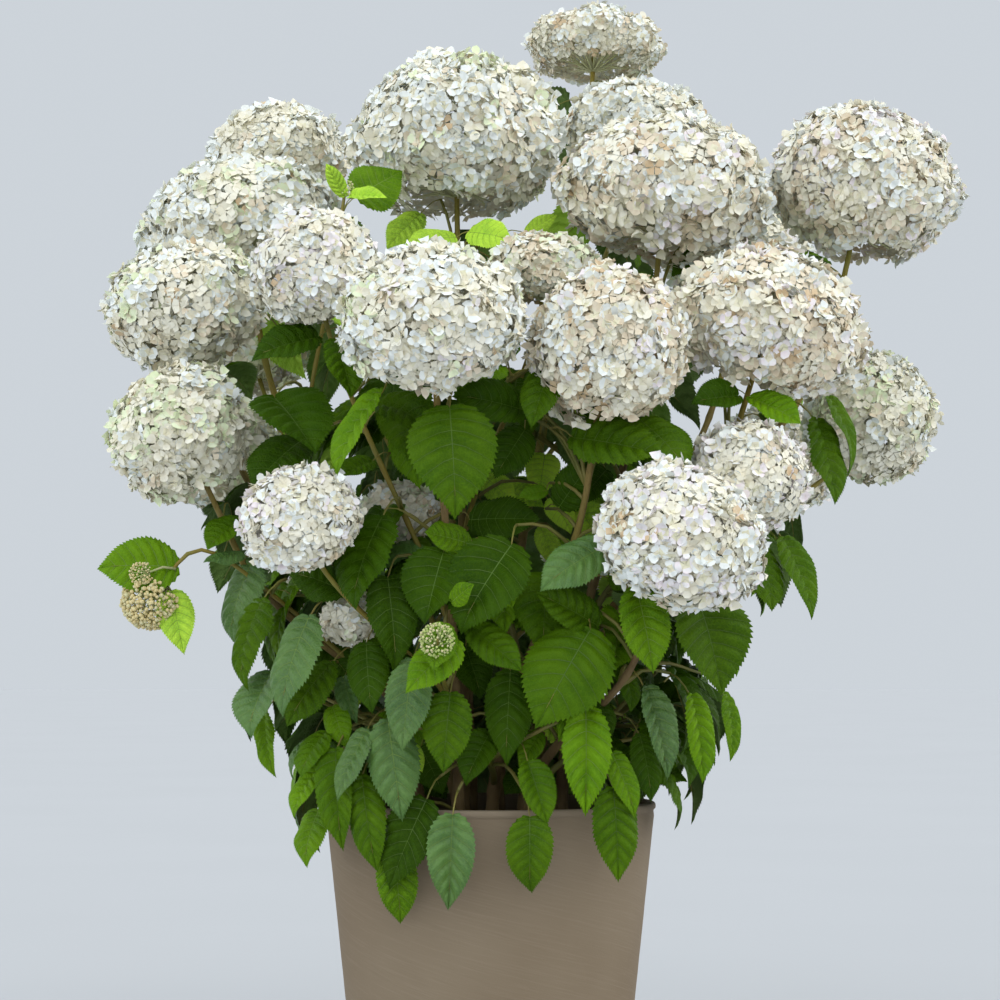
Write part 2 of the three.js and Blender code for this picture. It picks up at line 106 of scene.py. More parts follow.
# Name, cane and share of its length where the stem leaves, sector in degrees, heights, reach at
# those heights, rows and columns of twigs.
MASSES = (
    ("front_low", ("centre", 0.12), (-118, -62), (415, 545), (208, 240), (2, 4)),
    ("front_left_low", ("left_middle", 0.2), (-166, -118), (430, 580), (200, 240), (2, 3)),
    ("front_right_low", ("right_front", 0.14), (-62, -16), (430, 580), (200, 240), (2, 3)),
    ("left_low", ("left_outer", 0.14), (166, 214), (440, 600), (205, 250), (2, 3)),
    ("right_low", ("right_upper", 0.15), (-12, 38), (440, 620), (200, 250), (2, 3)),
    ("back_left_low", ("back_centre", 0.12), (106, 162), (430, 580), (200, 245), (2, 3)),
    ("back_right_low", ("back_right", 0.12), (42, 100), (430, 580), (200, 245), (2, 3)),
    ("front_middle", ("centre", 0.42), (-122, -50), (600, 790), (235, 215), (2, 4)),
    ("left_middle", ("left_upper", 0.4), (168, 242), (590, 800), (262, 235), (2, 3)),
    ("right_middle", ("top_right", 0.36), (-50, 30), (600, 830), (262, 225), (2, 3)),
    ("back_middle", ("back_centre", 0.42), (56, 144), (640, 860), (260, 225), (2, 3)),
    ("top", ("top_left", 0.6), (-150, -30), (870, 1000), (165, 135), (1, 4)),
    ("back_top", ("back_right", 0.6), (20, 150), (900, 1010), (200, 160), (1, 4)),
)

# Name, cane and share, the bend of the stem, the bud head and its half-width.
BUD_SHOOTS = (
    ("left", ("left_middle", 0.5), (-345, -150, 705), (-402, -150, 645), 36),
    ("top", ("left_outer", 0.7), (-190, -85, 1060), (-178, -90, 1150), 12),
    ("centre", ("centre_left", 0.2), (-55, -270, 560), (-58, -335, 596), 20),
)

# Leaves whose place shows in the front view: the foot and tip of the blade, breadth, tint (d deep,
# m middle, b bright, l light bluish, or y lit through), and which way round from the front the blade
# looks, in degrees. The tints paint light and shade: d the deep green given to leaves in shadow as
# painted shade, b painted sunlight, l a painted reflection of the sky, y painted light through the leaf.
PLACED = (
    ((-45, -296, 859), (-37, -318, 730), 0.78, "m", 5),
    ((-123, -270, 880), (-174, -300, 779), 0.50, "b", -50),
    ((-255, -170, 884), (-200, -250, 809), 0.85, "d", 20),
    ((-225, -170, 832), (-276, -225, 771), 0.80, "d", -25),
    ((-179, -235, 944), (-158, -262, 874), 0.70, "m", 20),
    ((-201, -215, 950), (-276, -250, 922), 0.62, "d", -20),
    ((45, -225, 862), (-42, -262, 878), 0.66, "d", -10),
    ((73, -268, 915), (47, -300, 835), 0.62, "m", -15),
    ((41, -190, 844), (5, -215, 785), 0.75, "d", 10),
    ((-23, -175, 739), (60, -200, 737), 0.72, "d", 10),
    ((66, -215, 771), (33, -230, 762), 0.60, "m", 0),
    ((-53, -255, 697), (-73, -285, 613), 0.95, "d", -5),
    ((-23, -232, 708), (-75, -262, 719), 0.75, "b", -20),
    ((25, -262, 705), (-36, -296, 605), 0.85, "d", -8),
    ((-42, -296, 639), (-17, -312, 659), 0.80, "b", 0),
    ((-117, -245, 668), (-105, -268, 560), 0.58, "d", 10),
    ((-124, -245, 737), (-157, -290, 632), 0.72, "d", -35),
    ((-138, -205, 805), (-175, -240, 783), 0.80, "m", -20),
    ((96, -240, 830), (203, -275, 805), 0.66, "m", 12),
    ((175, -225, 852), (228, -262, 791), 0.85, "m", 18),
    ((82, -190, 754), (119, -220, 805), 0.80, "d", 5),
    ((135, -268, 705), (56, -300, 654), 0.66, "l", -12),
    ((124, -245, 613), (52, -275, 651), 0.66, "m", -5),
    ((166, -285, 655), (184, -305, 558), 0.70, "b", 10),
    ((237, -255, 645), (264, -262, 533), 0.88, "m", 25),
    ((317, -170, 713), (329, -200, 630), 0.60, "m", 30),
    ((347, -160, 718), (379, -185, 621), 0.48, "m", 35),
    ((400, -60, 869), (416, -100, 761), 0.52, "m", 35),
    ((417, -50, 898), (446, -80, 799), 0.40, "m", 50),
    ((291, -200, 883), (234, -235, 872), 0.75, "d", -5),
    ((306, -190, 882), (362, -225, 848), 0.62, "b", 20),
    ((-270, -150, 645), (-294, -185, 539), 0.58, "m", -48),
    ((-258, -150, 560), (-284, -190, 486), 0.82, "l", -40),
    ((-268, -120, 512), (-255, -150, 435), 0.45, "b", -40),
    ((-209, -215, 624), (-240, -250, 509), 0.56, "l", -35),
    ((-186, -175, 570), (-235, -215, 500), 0.66, "m", -30),
    ((-193, -170, 490), (-221, -205, 440), 0.70, "m", -35),
    ((-202, -150, 447), (-231, -185, 391), 0.62, "b", -40),
    ((-204, -120, 396), (-220, -150, 331), 0.66, "b", -35),
    ((-179, -190, 470), (-170, -215, 353), 0.42, "m", -20),
    ((-142, -215, 493), (-173, -235, 412), 0.50, "l", -35),
    ((-117, -225, 505), (-100, -236, 388), 0.52, "l", 0),
    ((-148, -205, 440), (-130, -215, 328), 0.46, "m", -15),
    ((-73, -212, 413), (-116, -212, 310), 0.62, "d", -10),
    ((-111, -196, 359), (-102, -192, 266), 0.58, "b", 0),
    ((-42, -236, 397), (-47, -232, 286), 0.54, "l", 0),
    ((46, -236, 395), (46, -230, 304), 0.66, "m", 0),
    ((44, -225, 457), (66, -240, 386), 0.68, "m", 10),
    ((142, -222, 428), (148, -216, 319), 0.54, "m", 10),
    ((110, -245, 519), (109, -255, 395), 0.52, "b", 5),
    ((141, -222, 467), (169, -232, 392), 0.45, "b", 15),
    ((179, -222, 542), (205, -232, 436), 0.46, "l", 30),
    ((115, -262, 608), (52, -290, 496), 0.80, "m", -5),
    ((-45, -245, 536), (-53, -256, 445), 0.68, "m", 0),
    ((24, -200, 561), (18, -220, 451), 0.52, "d", 0),
    ((0, -185, 489), (-30, -210, 430), 0.70, "d", -10),
    ((-22, -245, 611), (38, -270, 560), 0.60, "m", 10),
    ((234, -190, 533), (247, -205, 431), 0.44, "b", 30),
    ((277, -130, 535), (285, -150, 454), 0.45, "b", 50),
    ((-87, -255, 574), (-98, -272, 470), 0.56, "l", -10),
    ((-143, -215, 593), (-135, -240, 512), 0.62, "d", -10),
    ((175, -185, 487), (188, -205, 410), 0.50, "d", 20),
    ((70, 90, 839), (61, 60, 779), 0.70, "y", 0),
    ((18, 110, 795), (70, 90, 773), 0.70, "y", 0),
    ((109, 100, 782), (140, 70, 722), 0.70, "y", 0),
    ((90, 120, 731), (109, 95, 671), 0.60, "y", 0),
    ((268, 40, 1098), (230, 10, 1061), 0.60, "m", 0),
    ((-26, -20, 1110), (27, -55, 1094), 0.70, "y", 0),
    ((-44, -30, 1101), (-105, -65, 1090), 0.60, "y", -10),
    ((20, 80, 552), (29, 60, 481), 0.62, "y", 0),
    ((-178, 40, 562), (-168, 30, 507), 0.55, "y", -20),
    ((-91, 60, 1148), (-133, 30, 1098), 0.62, "y", -10),
    ((46, 10, 1113), (86, 20, 1141), 0.50, "y", 0),
    ((-5, 60, 807), (32, 50, 771), 0.80, "y", 0),
    ((78, 60, 781), (104, 50, 735), 0.70, "y", 0),
    ((64, 50, 743), (83, 45, 691), 0.60, "y", 0),
    ((-287, -110, 692), (-311, -140, 594), 0.70, "l", -42),
    ((-185, -165, 519), (-166, -182, 470), 0.62, "b", -15),
    ((-173, -150, 553), (-156, -172, 499), 0.50, "l", -20),
    ((-29, -120, 591), (-9, -140, 527), 0.75, "d", 0),
    ((-83, -110, 470), (-55, -130, 415), 0.80, "d", 0),
    ((45, -60, 441), (17, -80, 412), 0.80, "d", 0),
    ((59, -150, 489), (34, -170, 449), 0.62, "b", 10),
    ((-93, -150, 475), (-79, -165, 442), 0.55, "y", -10),
    ((-85, 30, 437), (-54, 10, 401), 0.80, "d", 0),
    ((140, -110, 803), (103, -130, 757), 0.75, "d", 0),
    ((-204, -60, 593), (-169, -80, 553), 0.80, "d", -10),
    ((-46, -90, 619), (-26, -110, 576), 0.70, "d", 0),
)

# The same for the leaves of the bud shoots, after the shoot's name.
BUD_LEAVES = (
    ("left", ((-371, -150, 684), (-466, -165, 684), 0.78, "b", -10)),
    ("left", ((-379, -150, 655), (-361, -165, 580), 0.60, "y", 10)),
    ("left", ((-301, -120, 742), (-337, -150, 706), 0.85, "m", -25)),
    ("left", ((-296, -130, 701), (-339, -165, 690), 0.60, "l", -35)),
    ("top", ((-166, -62, 1146), (-110, -32, 1184), 0.92, "b", 10)),
    ("top", ((-172, -95, 1138), (-124, -125, 1132), 0.45, "y", 20)),
    ("top", ((-178, -95, 1141), (-200, -110, 1179), 0.50, "y", -20)),
    ("centre", ((-36, -290, 595), (-94, -318, 537), 0.60, "b", -5)),
    ("centre", ((-51, -300, 614), (-62, -345, 562), 0.62, "b", 0)),
)

# Parts of the front view, as seen on the plane through the axis, where nothing but sky shows:
# left, right, bottom, top.
OPEN_AIR = (
    (468, 643, 970, 1076),
    (402, 639, 156, 785),
    (306, 636, 156, 615),
    (265, 633, 156, 416),
    (-614, -364, 718, 775),
    (-606, -322, 156, 572),
    (-606, -276, 156, 420),
    (-606, -246, 156, 395),
    (-606, -296, 156, 480),
    (-606, -258, 156, 468),
)

# Measures of the source, which the growth shares.
LEAF_LENGTH = 132
WIDEST_AT = 0.42
PETIOLE = 32
NECK = 100
SUNK = 16
UNDERSIDE = 0.86
DIMPLE = 0.34
SOIL_TOP = 366
RIM_HEIGHT, RIM_RADIUS, FOOT_RADIUS = 400, 205, 161

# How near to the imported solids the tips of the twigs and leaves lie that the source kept.
NEAR_TWIG, NEAR_LEAF = 3.6, 0.6

# Limits of the leaves that only this script adds, and the room they leave to others.
LOWEST_TIP = 287
FARTHEST_LEAF = 470
INNER_LEAVES = 170
GAP_TO_PLACED, GAP_INSIDE, GAP_OF_FINE = 14, 11, 13

# Radii at the foot and the tip: a head's stalk, a bud's stalk, a stem, its twigs, a leaf's own twig.
STALK, BUD_STALK, STEM = (3.4, 2.8), (3.2, 2.0), (4.6, 3.4)
TWIG, LEAF_TWIG = (3.4, 2.0), (2.6, 1.8)

# Radii of a cane at the soil, under its head and inside it, and the spacing of rings and of joints
# along canes and along thinner wood.
CANE = (7, 3.8, 3.0)
CANE_STEP, CANE_JOINTS = 8, 118
WOOD_STEP, WOOD_JOINTS = 16, 62

# The pieces that leaves are joined into, with the height up to which each reaches.
LEAF_TIERS = {"low": 560, "middle": 800, "high": inf}

# The letters of the greens of leaves: deep, middle, bright, light bluish, and lit through. Deep is
# partly painted shade, bright painted sunlight, light bluish a painted reflection of the sky and lit
# through painted light that comes through a leaf. The materials of pale and of green veins follow them.
LEAF_TINTS = "dmbly"
PALE_VEIN, GREEN_VEIN = 5, 6

# The letters of the tints of florets, which the materials of the throat and of brown petals follow.
TINTS = "wcpgt"
CREAM, TAN = TINTS.index("c"), TINTS.index("t")
THROAT, BROWN = 5, 6

# A piece of florets that has more faces than this takes no further head.
FACES_IN_A_PIECE = 118000

# The photo's camera: where it stands, its focal length in pixels of a picture this wide, and how
# far the horizon lies below the middle of it.
CAMERA = (12, -3000, 566)
PICTURE, FOCAL, HORIZON = 1000, 2400, 167


def unit(v):
    """The direction of a vector, or of each row of an array of vectors."""
    return v / norm(v, axis=-1, keepdims=True)


def mix(a, b, share):
    """The value, or place, that lies a share of the way from one to another."""
    return a + (b - a) * share


def clamp(value, low=0.0, high=1.0):
    return max(low, min(high, value))


def level_part(place):
    """A place's vector from the axis, without its height."""
    return np.array((place[0], place[1], 0.0))


def gap_between(some, others):
    """The smallest distance between two sets of places."""
    return np.min(norm(some[:, None] - others, axis=2))


def run_of(path):
    """How far each point of a path lies from its start, along the path."""
    return np.concatenate([[0], np.cumsum(norm(np.diff(path, axis=0), axis=1))])


def seeded(seed):
    """The source's own sequence of numbers from 0 to 1 for a seed."""
    state = (seed * 40503) & 0xFFFFFFFF

    def draw():
        nonlocal state
        state = (state * 1664525 + 1013904223) & 0xFFFFFFFF
        return state / 4294967296

    return draw


class Curve:
    """A curve measured by its own length, from a function of 0 to 1."""

    def __init__(self, at):
        self.at = at
        self.steps = np.linspace(0, 1, 201)
        self.lengths = run_of(np.array([at(t) for t in self.steps]))
        self.length = self.lengths[-1]

    def point(self, share):
        return self.at(np.interp(share * self.length, self.lengths, self.steps))

    def tangent(self, share):
        t = np.interp(share * self.length, self.lengths, self.steps)
        return unit(self.at(min(t + 1e-4, 1)) - self.at(max(t - 1e-4, 0)))

    def points(self, shares):
        return np.array([self.point(share) for share in shares])


def bezier(a, b, c, d):
    """A cubic curve that leaves a towards b and reaches d from c."""
    return Curve(lambda t: a * (1 - t) ** 3 + 3 * b * t * (1 - t) ** 2 + 3 * c * t * t * (1 - t) + d * t**3)


def straight(a, b):
    return Curve(lambda t: mix(a, b, t))


def through(places):
    """A smooth curve through a few places."""
    ends = [2 * places[0] - places[1], *places, 2 * places[-1] - places[-2]]

    def at(t):
        i = min(int(t * (len(places) - 1)), len(places) - 2)
        u = t * (len(places) - 1) - i
        p, q, r, s = ends[i : i + 4]
        cubic = (3 * q - p - 3 * r + s) * u**3
        return 0.5 * (2 * q + (r - p) * u + (2 * p - 5 * q + 4 * r - s) * u**2 + cubic)

    return Curve(at)


class Pile:
    """Points and faces in millimetres, gathered into one mesh with a material for each kind."""

    def __init__(self):
        self.points, self.faces, self.kinds, self.count = [], [], [], 0

    def add(self, points, kind, *groups):
        """Adds points and the faces between them, a group for each number of corners."""
        for faces in groups:
            self.faces.append(np.asarray(faces) + self.count)
            self.kinds.append(np.broadcast_to(kind, len(faces)))
        self.points.append(np.asarray(points, dtype=float).reshape(-1, 3))
        self.count += len(self.points[-1])

    def form(self, name, materials):
        """The smooth mesh of all that was added, as an object of the scene."""
        points = np.concatenate(self.points) * MM
        corners = np.concatenate([f.ravel() for f in self.faces])
        sizes = np.concatenate([np.full(len(f), f.shape[1]) for f in self.faces])
        starts = np.concatenate([[0], np.cumsum(sizes)[:-1]])
        mesh = bpy.data.meshes.new(name)
        mesh.vertices.add(len(points))
        mesh.vertices.foreach_set("co", points.astype(np.float32).ravel())
        mesh.loops.add(len(corners))
        mesh.loops.foreach_set("vertex_index", corners.astype(np.int32))
        mesh.polygons.add(len(sizes))
        mesh.polygons.foreach_set("loop_start", starts.astype(np.int32))
        mesh.update(calc_edges=True)
        mesh.polygons.foreach_set("material_index", np.concatenate(self.kinds).astype(np.int32))
        mesh.polygons.foreach_set("use_smooth", np.ones(len(sizes), dtype=bool))
        for material in materials:
            mesh.materials.append(material)
        mesh.validate()
        return add_object(name, mesh)

    def build(self, name, materials, slot, replaced):
        piece = self.form(name, materials)
        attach(piece, "root")
        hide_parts(*replaced)


def add_object(name, data):
    """Puts a mesh, light or camera into the scene."""
    made = bpy.data.objects.new(name, data)
    bpy.context.scene.collection.objects.link(made)
    return made


def ring_quads(rings, sides):
    """Faces between rings of points that follow one another."""
    base = np.arange(rings - 1)[:, None] * sides
    k = np.arange(sides)
    after = (k + 1) % sides
    return np.stack([base + k, base + after, base + sides + after, base + sides + k], axis=-1).reshape(-1, 4)


def copies(pile, points, faces, kinds, at, axes, sizes):
    """Adds a copy of a small form at each place, turned by its three axes and scaled."""
    placed = at[:, None] + np.einsum("nij,pi->npj", axes, points) * sizes[:, None, None]
    every = faces[None] + (np.arange(len(at)) * len(points))[:, None, None]
    pile.add(placed, np.asarray(kinds).reshape(-1), every.reshape(-1, faces.shape[1]))


def tube(pile, path, radii, sides, kind=0):
    """A limb along a path, closed at both ends. radii has one value a point, or one a corner."""
    path = np.asarray(path, dtype=float)
    n = len(path)
    along = unit(np.gradient(path, axis=0))
    normal = np.cross(along[0], UP if abs(along[0][2]) < 0.9 else np.array((1.0, 0, 0)))
    normals = []
    for direction in along:
        normal = unit(normal - direction * (normal @ direction))
        normals.append(normal)
    normals = np.array(normals)
    level = np.cross(along, normals)
    turns = np.arange(sides) * 2 * pi / sides
    radii = np.broadcast_to(np.asarray(radii, dtype=float).reshape(n, -1), (n, sides))[..., None]
    round_it = normals[:, None] * np.cos(turns)[:, None] + level[:, None] * np.sin(turns)[:, None]
    rings = path[:, None] + radii * round_it
    last = (n - 1) * sides
    turned_on = [(k, (k + 1) % sides) for k in range(sides)]
    caps = [(b, a, n * sides) for a, b in turned_on]
    caps += [(last + a, last + b, n * sides + 1) for a, b in turned_on]
    pile.add(np.concatenate([rings.reshape(-1, 3), path[[0, -1]]]), kind, ring_quads(n, sides), caps)


# Growth: the source's rule


def head_axis(at):
    """The way a flower head faces: up, and leaning outwards the lower and the further out it is."""
    outward = level_part(at)
    lowness = clamp((1200 - at[2]) / 500)
    lean = radians(norm(outward) / 500 * (12 + 30 * lowness))
    return unit(outward) * sin(lean) + UP * cos(lean)


def head_foot(head):
    """Where a head's stalk enters it from below."""
    _, at, _, tall, _, _ = head
    return at - head_axis(at) * tall * (UNDERSIDE - DIMPLE)


def cane_curves():
    """A curve for each cane, which rises upright from the soil and ends under its head."""
    def bearing(head):
        return atan2(head[1][1], head[1][0])

    leaders = sorted((head for head in HEADS if not head[4]), key=bearing)
    curves = {}
    for i, head in enumerate(leaders):
        turn = bearing(leaders[0]) + 2 * pi * i / len(leaders)
        ring = 48 if i % 2 else 88
        foot = np.array((ring * cos(turn), ring * sin(turn), SOIL_TOP + 0.4))
        axis = head_axis(head[1])
        tip = head_foot(head) - axis * NECK
        span = norm(tip - foot)
        curves[head[0]] = bezier(foot, foot + UP * 0.4 * span, tip - axis * 0.35 * span, tip)
    return curves


class Shoot:
    """What carries leaves: rows of wood, the stations where leaves may stand, and the leaves."""

    def __init__(self, node, group):
        self.node, self.group = node, group
        self.wood, self.stations, self.leaves = [], [], []


def station_on(curve, share, **more):
    return dict(at=curve.point(share), along=curve.tangent(share), **more)


def leaves_at(station, random):
    """The pair of leaves at a station."""
    at, along = station["at"], station["along"]
    outward = unit(level_part(at))
    level = np.cross(outward, UP)
    across = level * cos(station["roll"]) + outward * sin(station["roll"])
    across = unit(across - along * (across @ along))
    made = []
    for turn in (1, -1):
        sweep = station["sweep"] * (0.7 + 0.6 * random())
        droop = clamp(station["droop"] + 0.3 * (random() - 0.5), 0.15, 0.9)
        length = station["length"] * (0.8 + 0.34 * random())
        sway = (random() - 0.5, random() - 0.5)
        heading = unit(across * turn + outward * sweep)
        hang = [unit(heading * (1 - share) - UP * share) for share in (droop * 0.7, droop)]
        base = at + unit(heading + UP * 0.25) * station.get("petiole", PETIOLE)
        widest = base + hang[0] * length * WIDEST_AT
        tip = widest + hang[1] * length * (1 - WIDEST_AT)
        facing = outward * (0.8 + 0.5 * sway[0]) + UP * 0.75 + across * 0.5 * sway[1] + heading * 0.3
        made.append(dict(joint=at, base=base, widest=widest, tip=tip, facing=facing, length=length))
    return made


def node_points(name):
    """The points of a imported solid, in millimetres."""
    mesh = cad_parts[name].data
    flat = np.empty(len(mesh.vertices) * 3)
    mesh.vertices.foreach_get("co", flat)
    return flat.reshape(-1, 3) / MM


def nearest(points, place):
    return np.min(norm(points - place, axis=1))


def leaving(canes, source, end, heading):
    """A stem from a share of a cane's length to an end, where it heads a given way."""
    name, share = source
    start = canes[name].point(share)
    span = norm(end - start)
    away = unit(unit(end - start) + canes[name].tangent(share) * 0.6)
    return bezier(start, start + away * 0.3 * span, end - heading * 0.3 * span, end)


def grow_bloom(canes, i, head):
    """A head's stalk with its pairs of leaves. The source spends the first draws on the head itself."""
    name, at, wide, tall, source, _ = head
    random = seeded(11 + i)
    for _ in range(92 if wide > 80 else 42):
        random()
    axis = head_axis(at)
    inside = head_foot(head) + axis * SUNK
    shoot = Shoot("bloom_" + name, "bloom")
    if source:
        curve = leaving(canes, source, inside, axis)
        shoot.wood.append((curve, *STALK))
    else:
        curve = straight(head_foot(head) - axis * (NECK - 0.4), inside)
    for k, below in enumerate((100, 66)):
        share = clamp(1 - (below + SUNK + tall * DIMPLE - 16) / curve.length, 0.12, 0.9)
        roll = pi * (0.5 * k + random())
        length = LEAF_LENGTH * mix(0.72, 0.95, clamp(wide / 120))
        station = dict(at=curve.point(share), along=axis, roll=roll, sweep=0.35, droop=0.5, length=length)
        shoot.stations.append(station)
    if curve.length - SUNK > 260:
        shoot.stations.append(station_on(curve, 0.42, roll=random(), sweep=0.4, droop=0.6,
                                         length=LEAF_LENGTH))
    shoot.curve = curve
    return shoot


def grow_bud(canes, entry):
    """A bud's stalk. Its leaves are placed from a table."""
    name, (cane, share), bend, at, _ = entry
    start = canes[cane].point(share)
    shoot = Shoot("bud_shoot_" + name, "bud")
    shoot.curve = through([start, mix(start, bend, 0.55) + UP * 12, np.array(bend), np.array(at)])
    shoot.wood.append((shoot.curve, *BUD_STALK))
    return shoot


def grow_mass(canes, i, mass):
    """A mass's stem, and those of its twigs that are found in its solid."""
    name, source, sector, heights, out, (rows, columns) = mass
    random = seeded(101 + i)
    tips = []
    for row in range(rows):
        for column in range(columns):
            turn = radians(mix(*sector, (column + 0.5 + 0.4 * (random() - 0.5)) / columns))
            rise = clamp((row + 0.5 + 0.8 * (random() - 0.5)) / rows)
            radius = mix(*out, rise) * (0.92 + 0.16 * random())
            tips.append(np.array((radius * cos(turn), radius * sin(turn), mix(*heights, rise))))
    middle = np.mean(tips, axis=0)
    hub = np.array((middle[0] * 0.76, middle[1] * 0.76, middle[2] - 20))
    stem = leaving(canes, source, hub, unit(unit(level_part(hub)) + UP * 0.5))
    shoot = Shoot("leaves_" + name, "mass")
    shoot.wood.append((stem, *STEM))
    droop = mix(0.78, 0.5, clamp((middle[2] - 450) / 450))
    solid = node_points(shoot.node)
    for k, tip in enumerate(tips):
        roll = random()
        if nearest(solid, tip) > NEAR_TWIG:
            continue
        curve = straight(stem.point(mix(0.5, 0.97, (k + 0.5) / len(tips))), tip)
        shoot.wood.append((curve, *TWIG))
        for j, share in enumerate((0.92, 0.66, 0.42)):
            shoot.stations.append(station_on(curve, share, sweep=0.7, droop=droop, roll=roll + j * pi / 2,
                                             length=LEAF_LENGTH))
    return shoot


def leaf_line(leaf, x):
    """Places, directions and upper sides along a leaf's midrib, at shares x of its blade."""
    base, widest, tip = leaf["base"], leaf["widest"], leaf["tip"]
    w = WIDEST_AT
    x = np.asarray(x, dtype=float)[:, None]
    at = base * (x - w) * (x - 1) / w + widest * x * (x - 1) / (w * (w - 1)) + tip * x * (x - w) / (1 - w)
    slope = base * (2 * x - w - 1) / w + widest * (2 * x - 1) / (w * (w - 1)) + tip * (2 * x - w) / (1 - w)
    along = unit(slope)
    facing = unit(leaf["facing"])
    return at, along, unit(facing - along * (along @ facing)[:, None])


def placed_leaf(entry):
    """A leaf of the table, with its stalk running back into the shrub."""
    foot, tip, breadth, tint, turn = entry
    base, tip = np.array((foot, tip), dtype=float)
    length = norm(tip - base)
    run = (tip - base) / length
    facing = np.array((sin(radians(turn)), -cos(radians(turn)), 0.4))
    joint = base + (UP * 0.3 - run * 0.45 - unit(level_part(base)) * 0.75) * (20 + 0.14 * length)
    widest = mix(base, tip, WIDEST_AT) + unit(facing) * length * 0.05
    return dict(joint=joint, base=base, widest=widest, tip=tip, facing=facing, length=length,
                breadth=breadth / 0.74, tint=LEAF_TINTS.index(tint))


def hides(spots, front):
    """Whether a leaf would stand before the leaves that show, seen from the front."""
    near = np.abs(spots[:, None] - front)
    beside = (near[..., 0] < 20) & (near[..., 2] < 20)
    return np.any(beside & (spots[:, None, 1] < front[..., 1] + 12))


def in_open_air(spots):
    """Whether a leaf would show in the front view where the shrub leaves the sky free."""
    nearer = CAMERA[1] / (CAMERA[1] - spots[:, 1])
    x, z = (CAMERA[k] + (spots[:, k] - CAMERA[k]) * nearer for k in (0, 2))
    return any(np.any((x > left) & (x < right) & (z > low) & (z < high))
               for left, right, low, high in OPEN_AIR)


def over_front_rim(spots):
    """Whether a leaf covers the front of the planter's rim, which stays open between the placed ones."""
    x, y, z = spots.T
    return np.any((z < RIM_HEIGHT + 40) & (y < -70) & (np.abs(x) < RIM_RADIUS - 10))


def probe(leaf):
    """Places on a leaf's blade that are kept clear of other things."""
    x = np.repeat((0.1, 0.35, 0.6, 0.85), 3)
    y = np.tile((-1.0, 0.0, 1.0), 4) * np.repeat((0.2, 0.3, 0.26, 0.1), 3)
    at, along, normal = leaf_line(leaf, x)
    return at + np.cross(normal, along) * (y * leaf["length"])[:, None]


def inside_head(places, reach):
    """Whether any of the places lies in a flower head, or nearly so where the reach is over 1."""
    for _, at, wide, tall, _, _ in HEADS:
        axis = head_axis(at)
        away = places - at
        rise = away @ axis
        across = norm(away - rise[:, None] * axis, axis=1)
        if np.any((across / wide) ** 2 + (rise / tall) ** 2 < reach):
            return True
    return False


def inside_planter(places):
    x, y, z = places.T
    radius = mix(FOOT_RADIUS, RIM_RADIUS, z / RIM_HEIGHT)
    return np.any((np.hypot(x, y) < radius + 4) & (z < RIM_HEIGHT + 4))


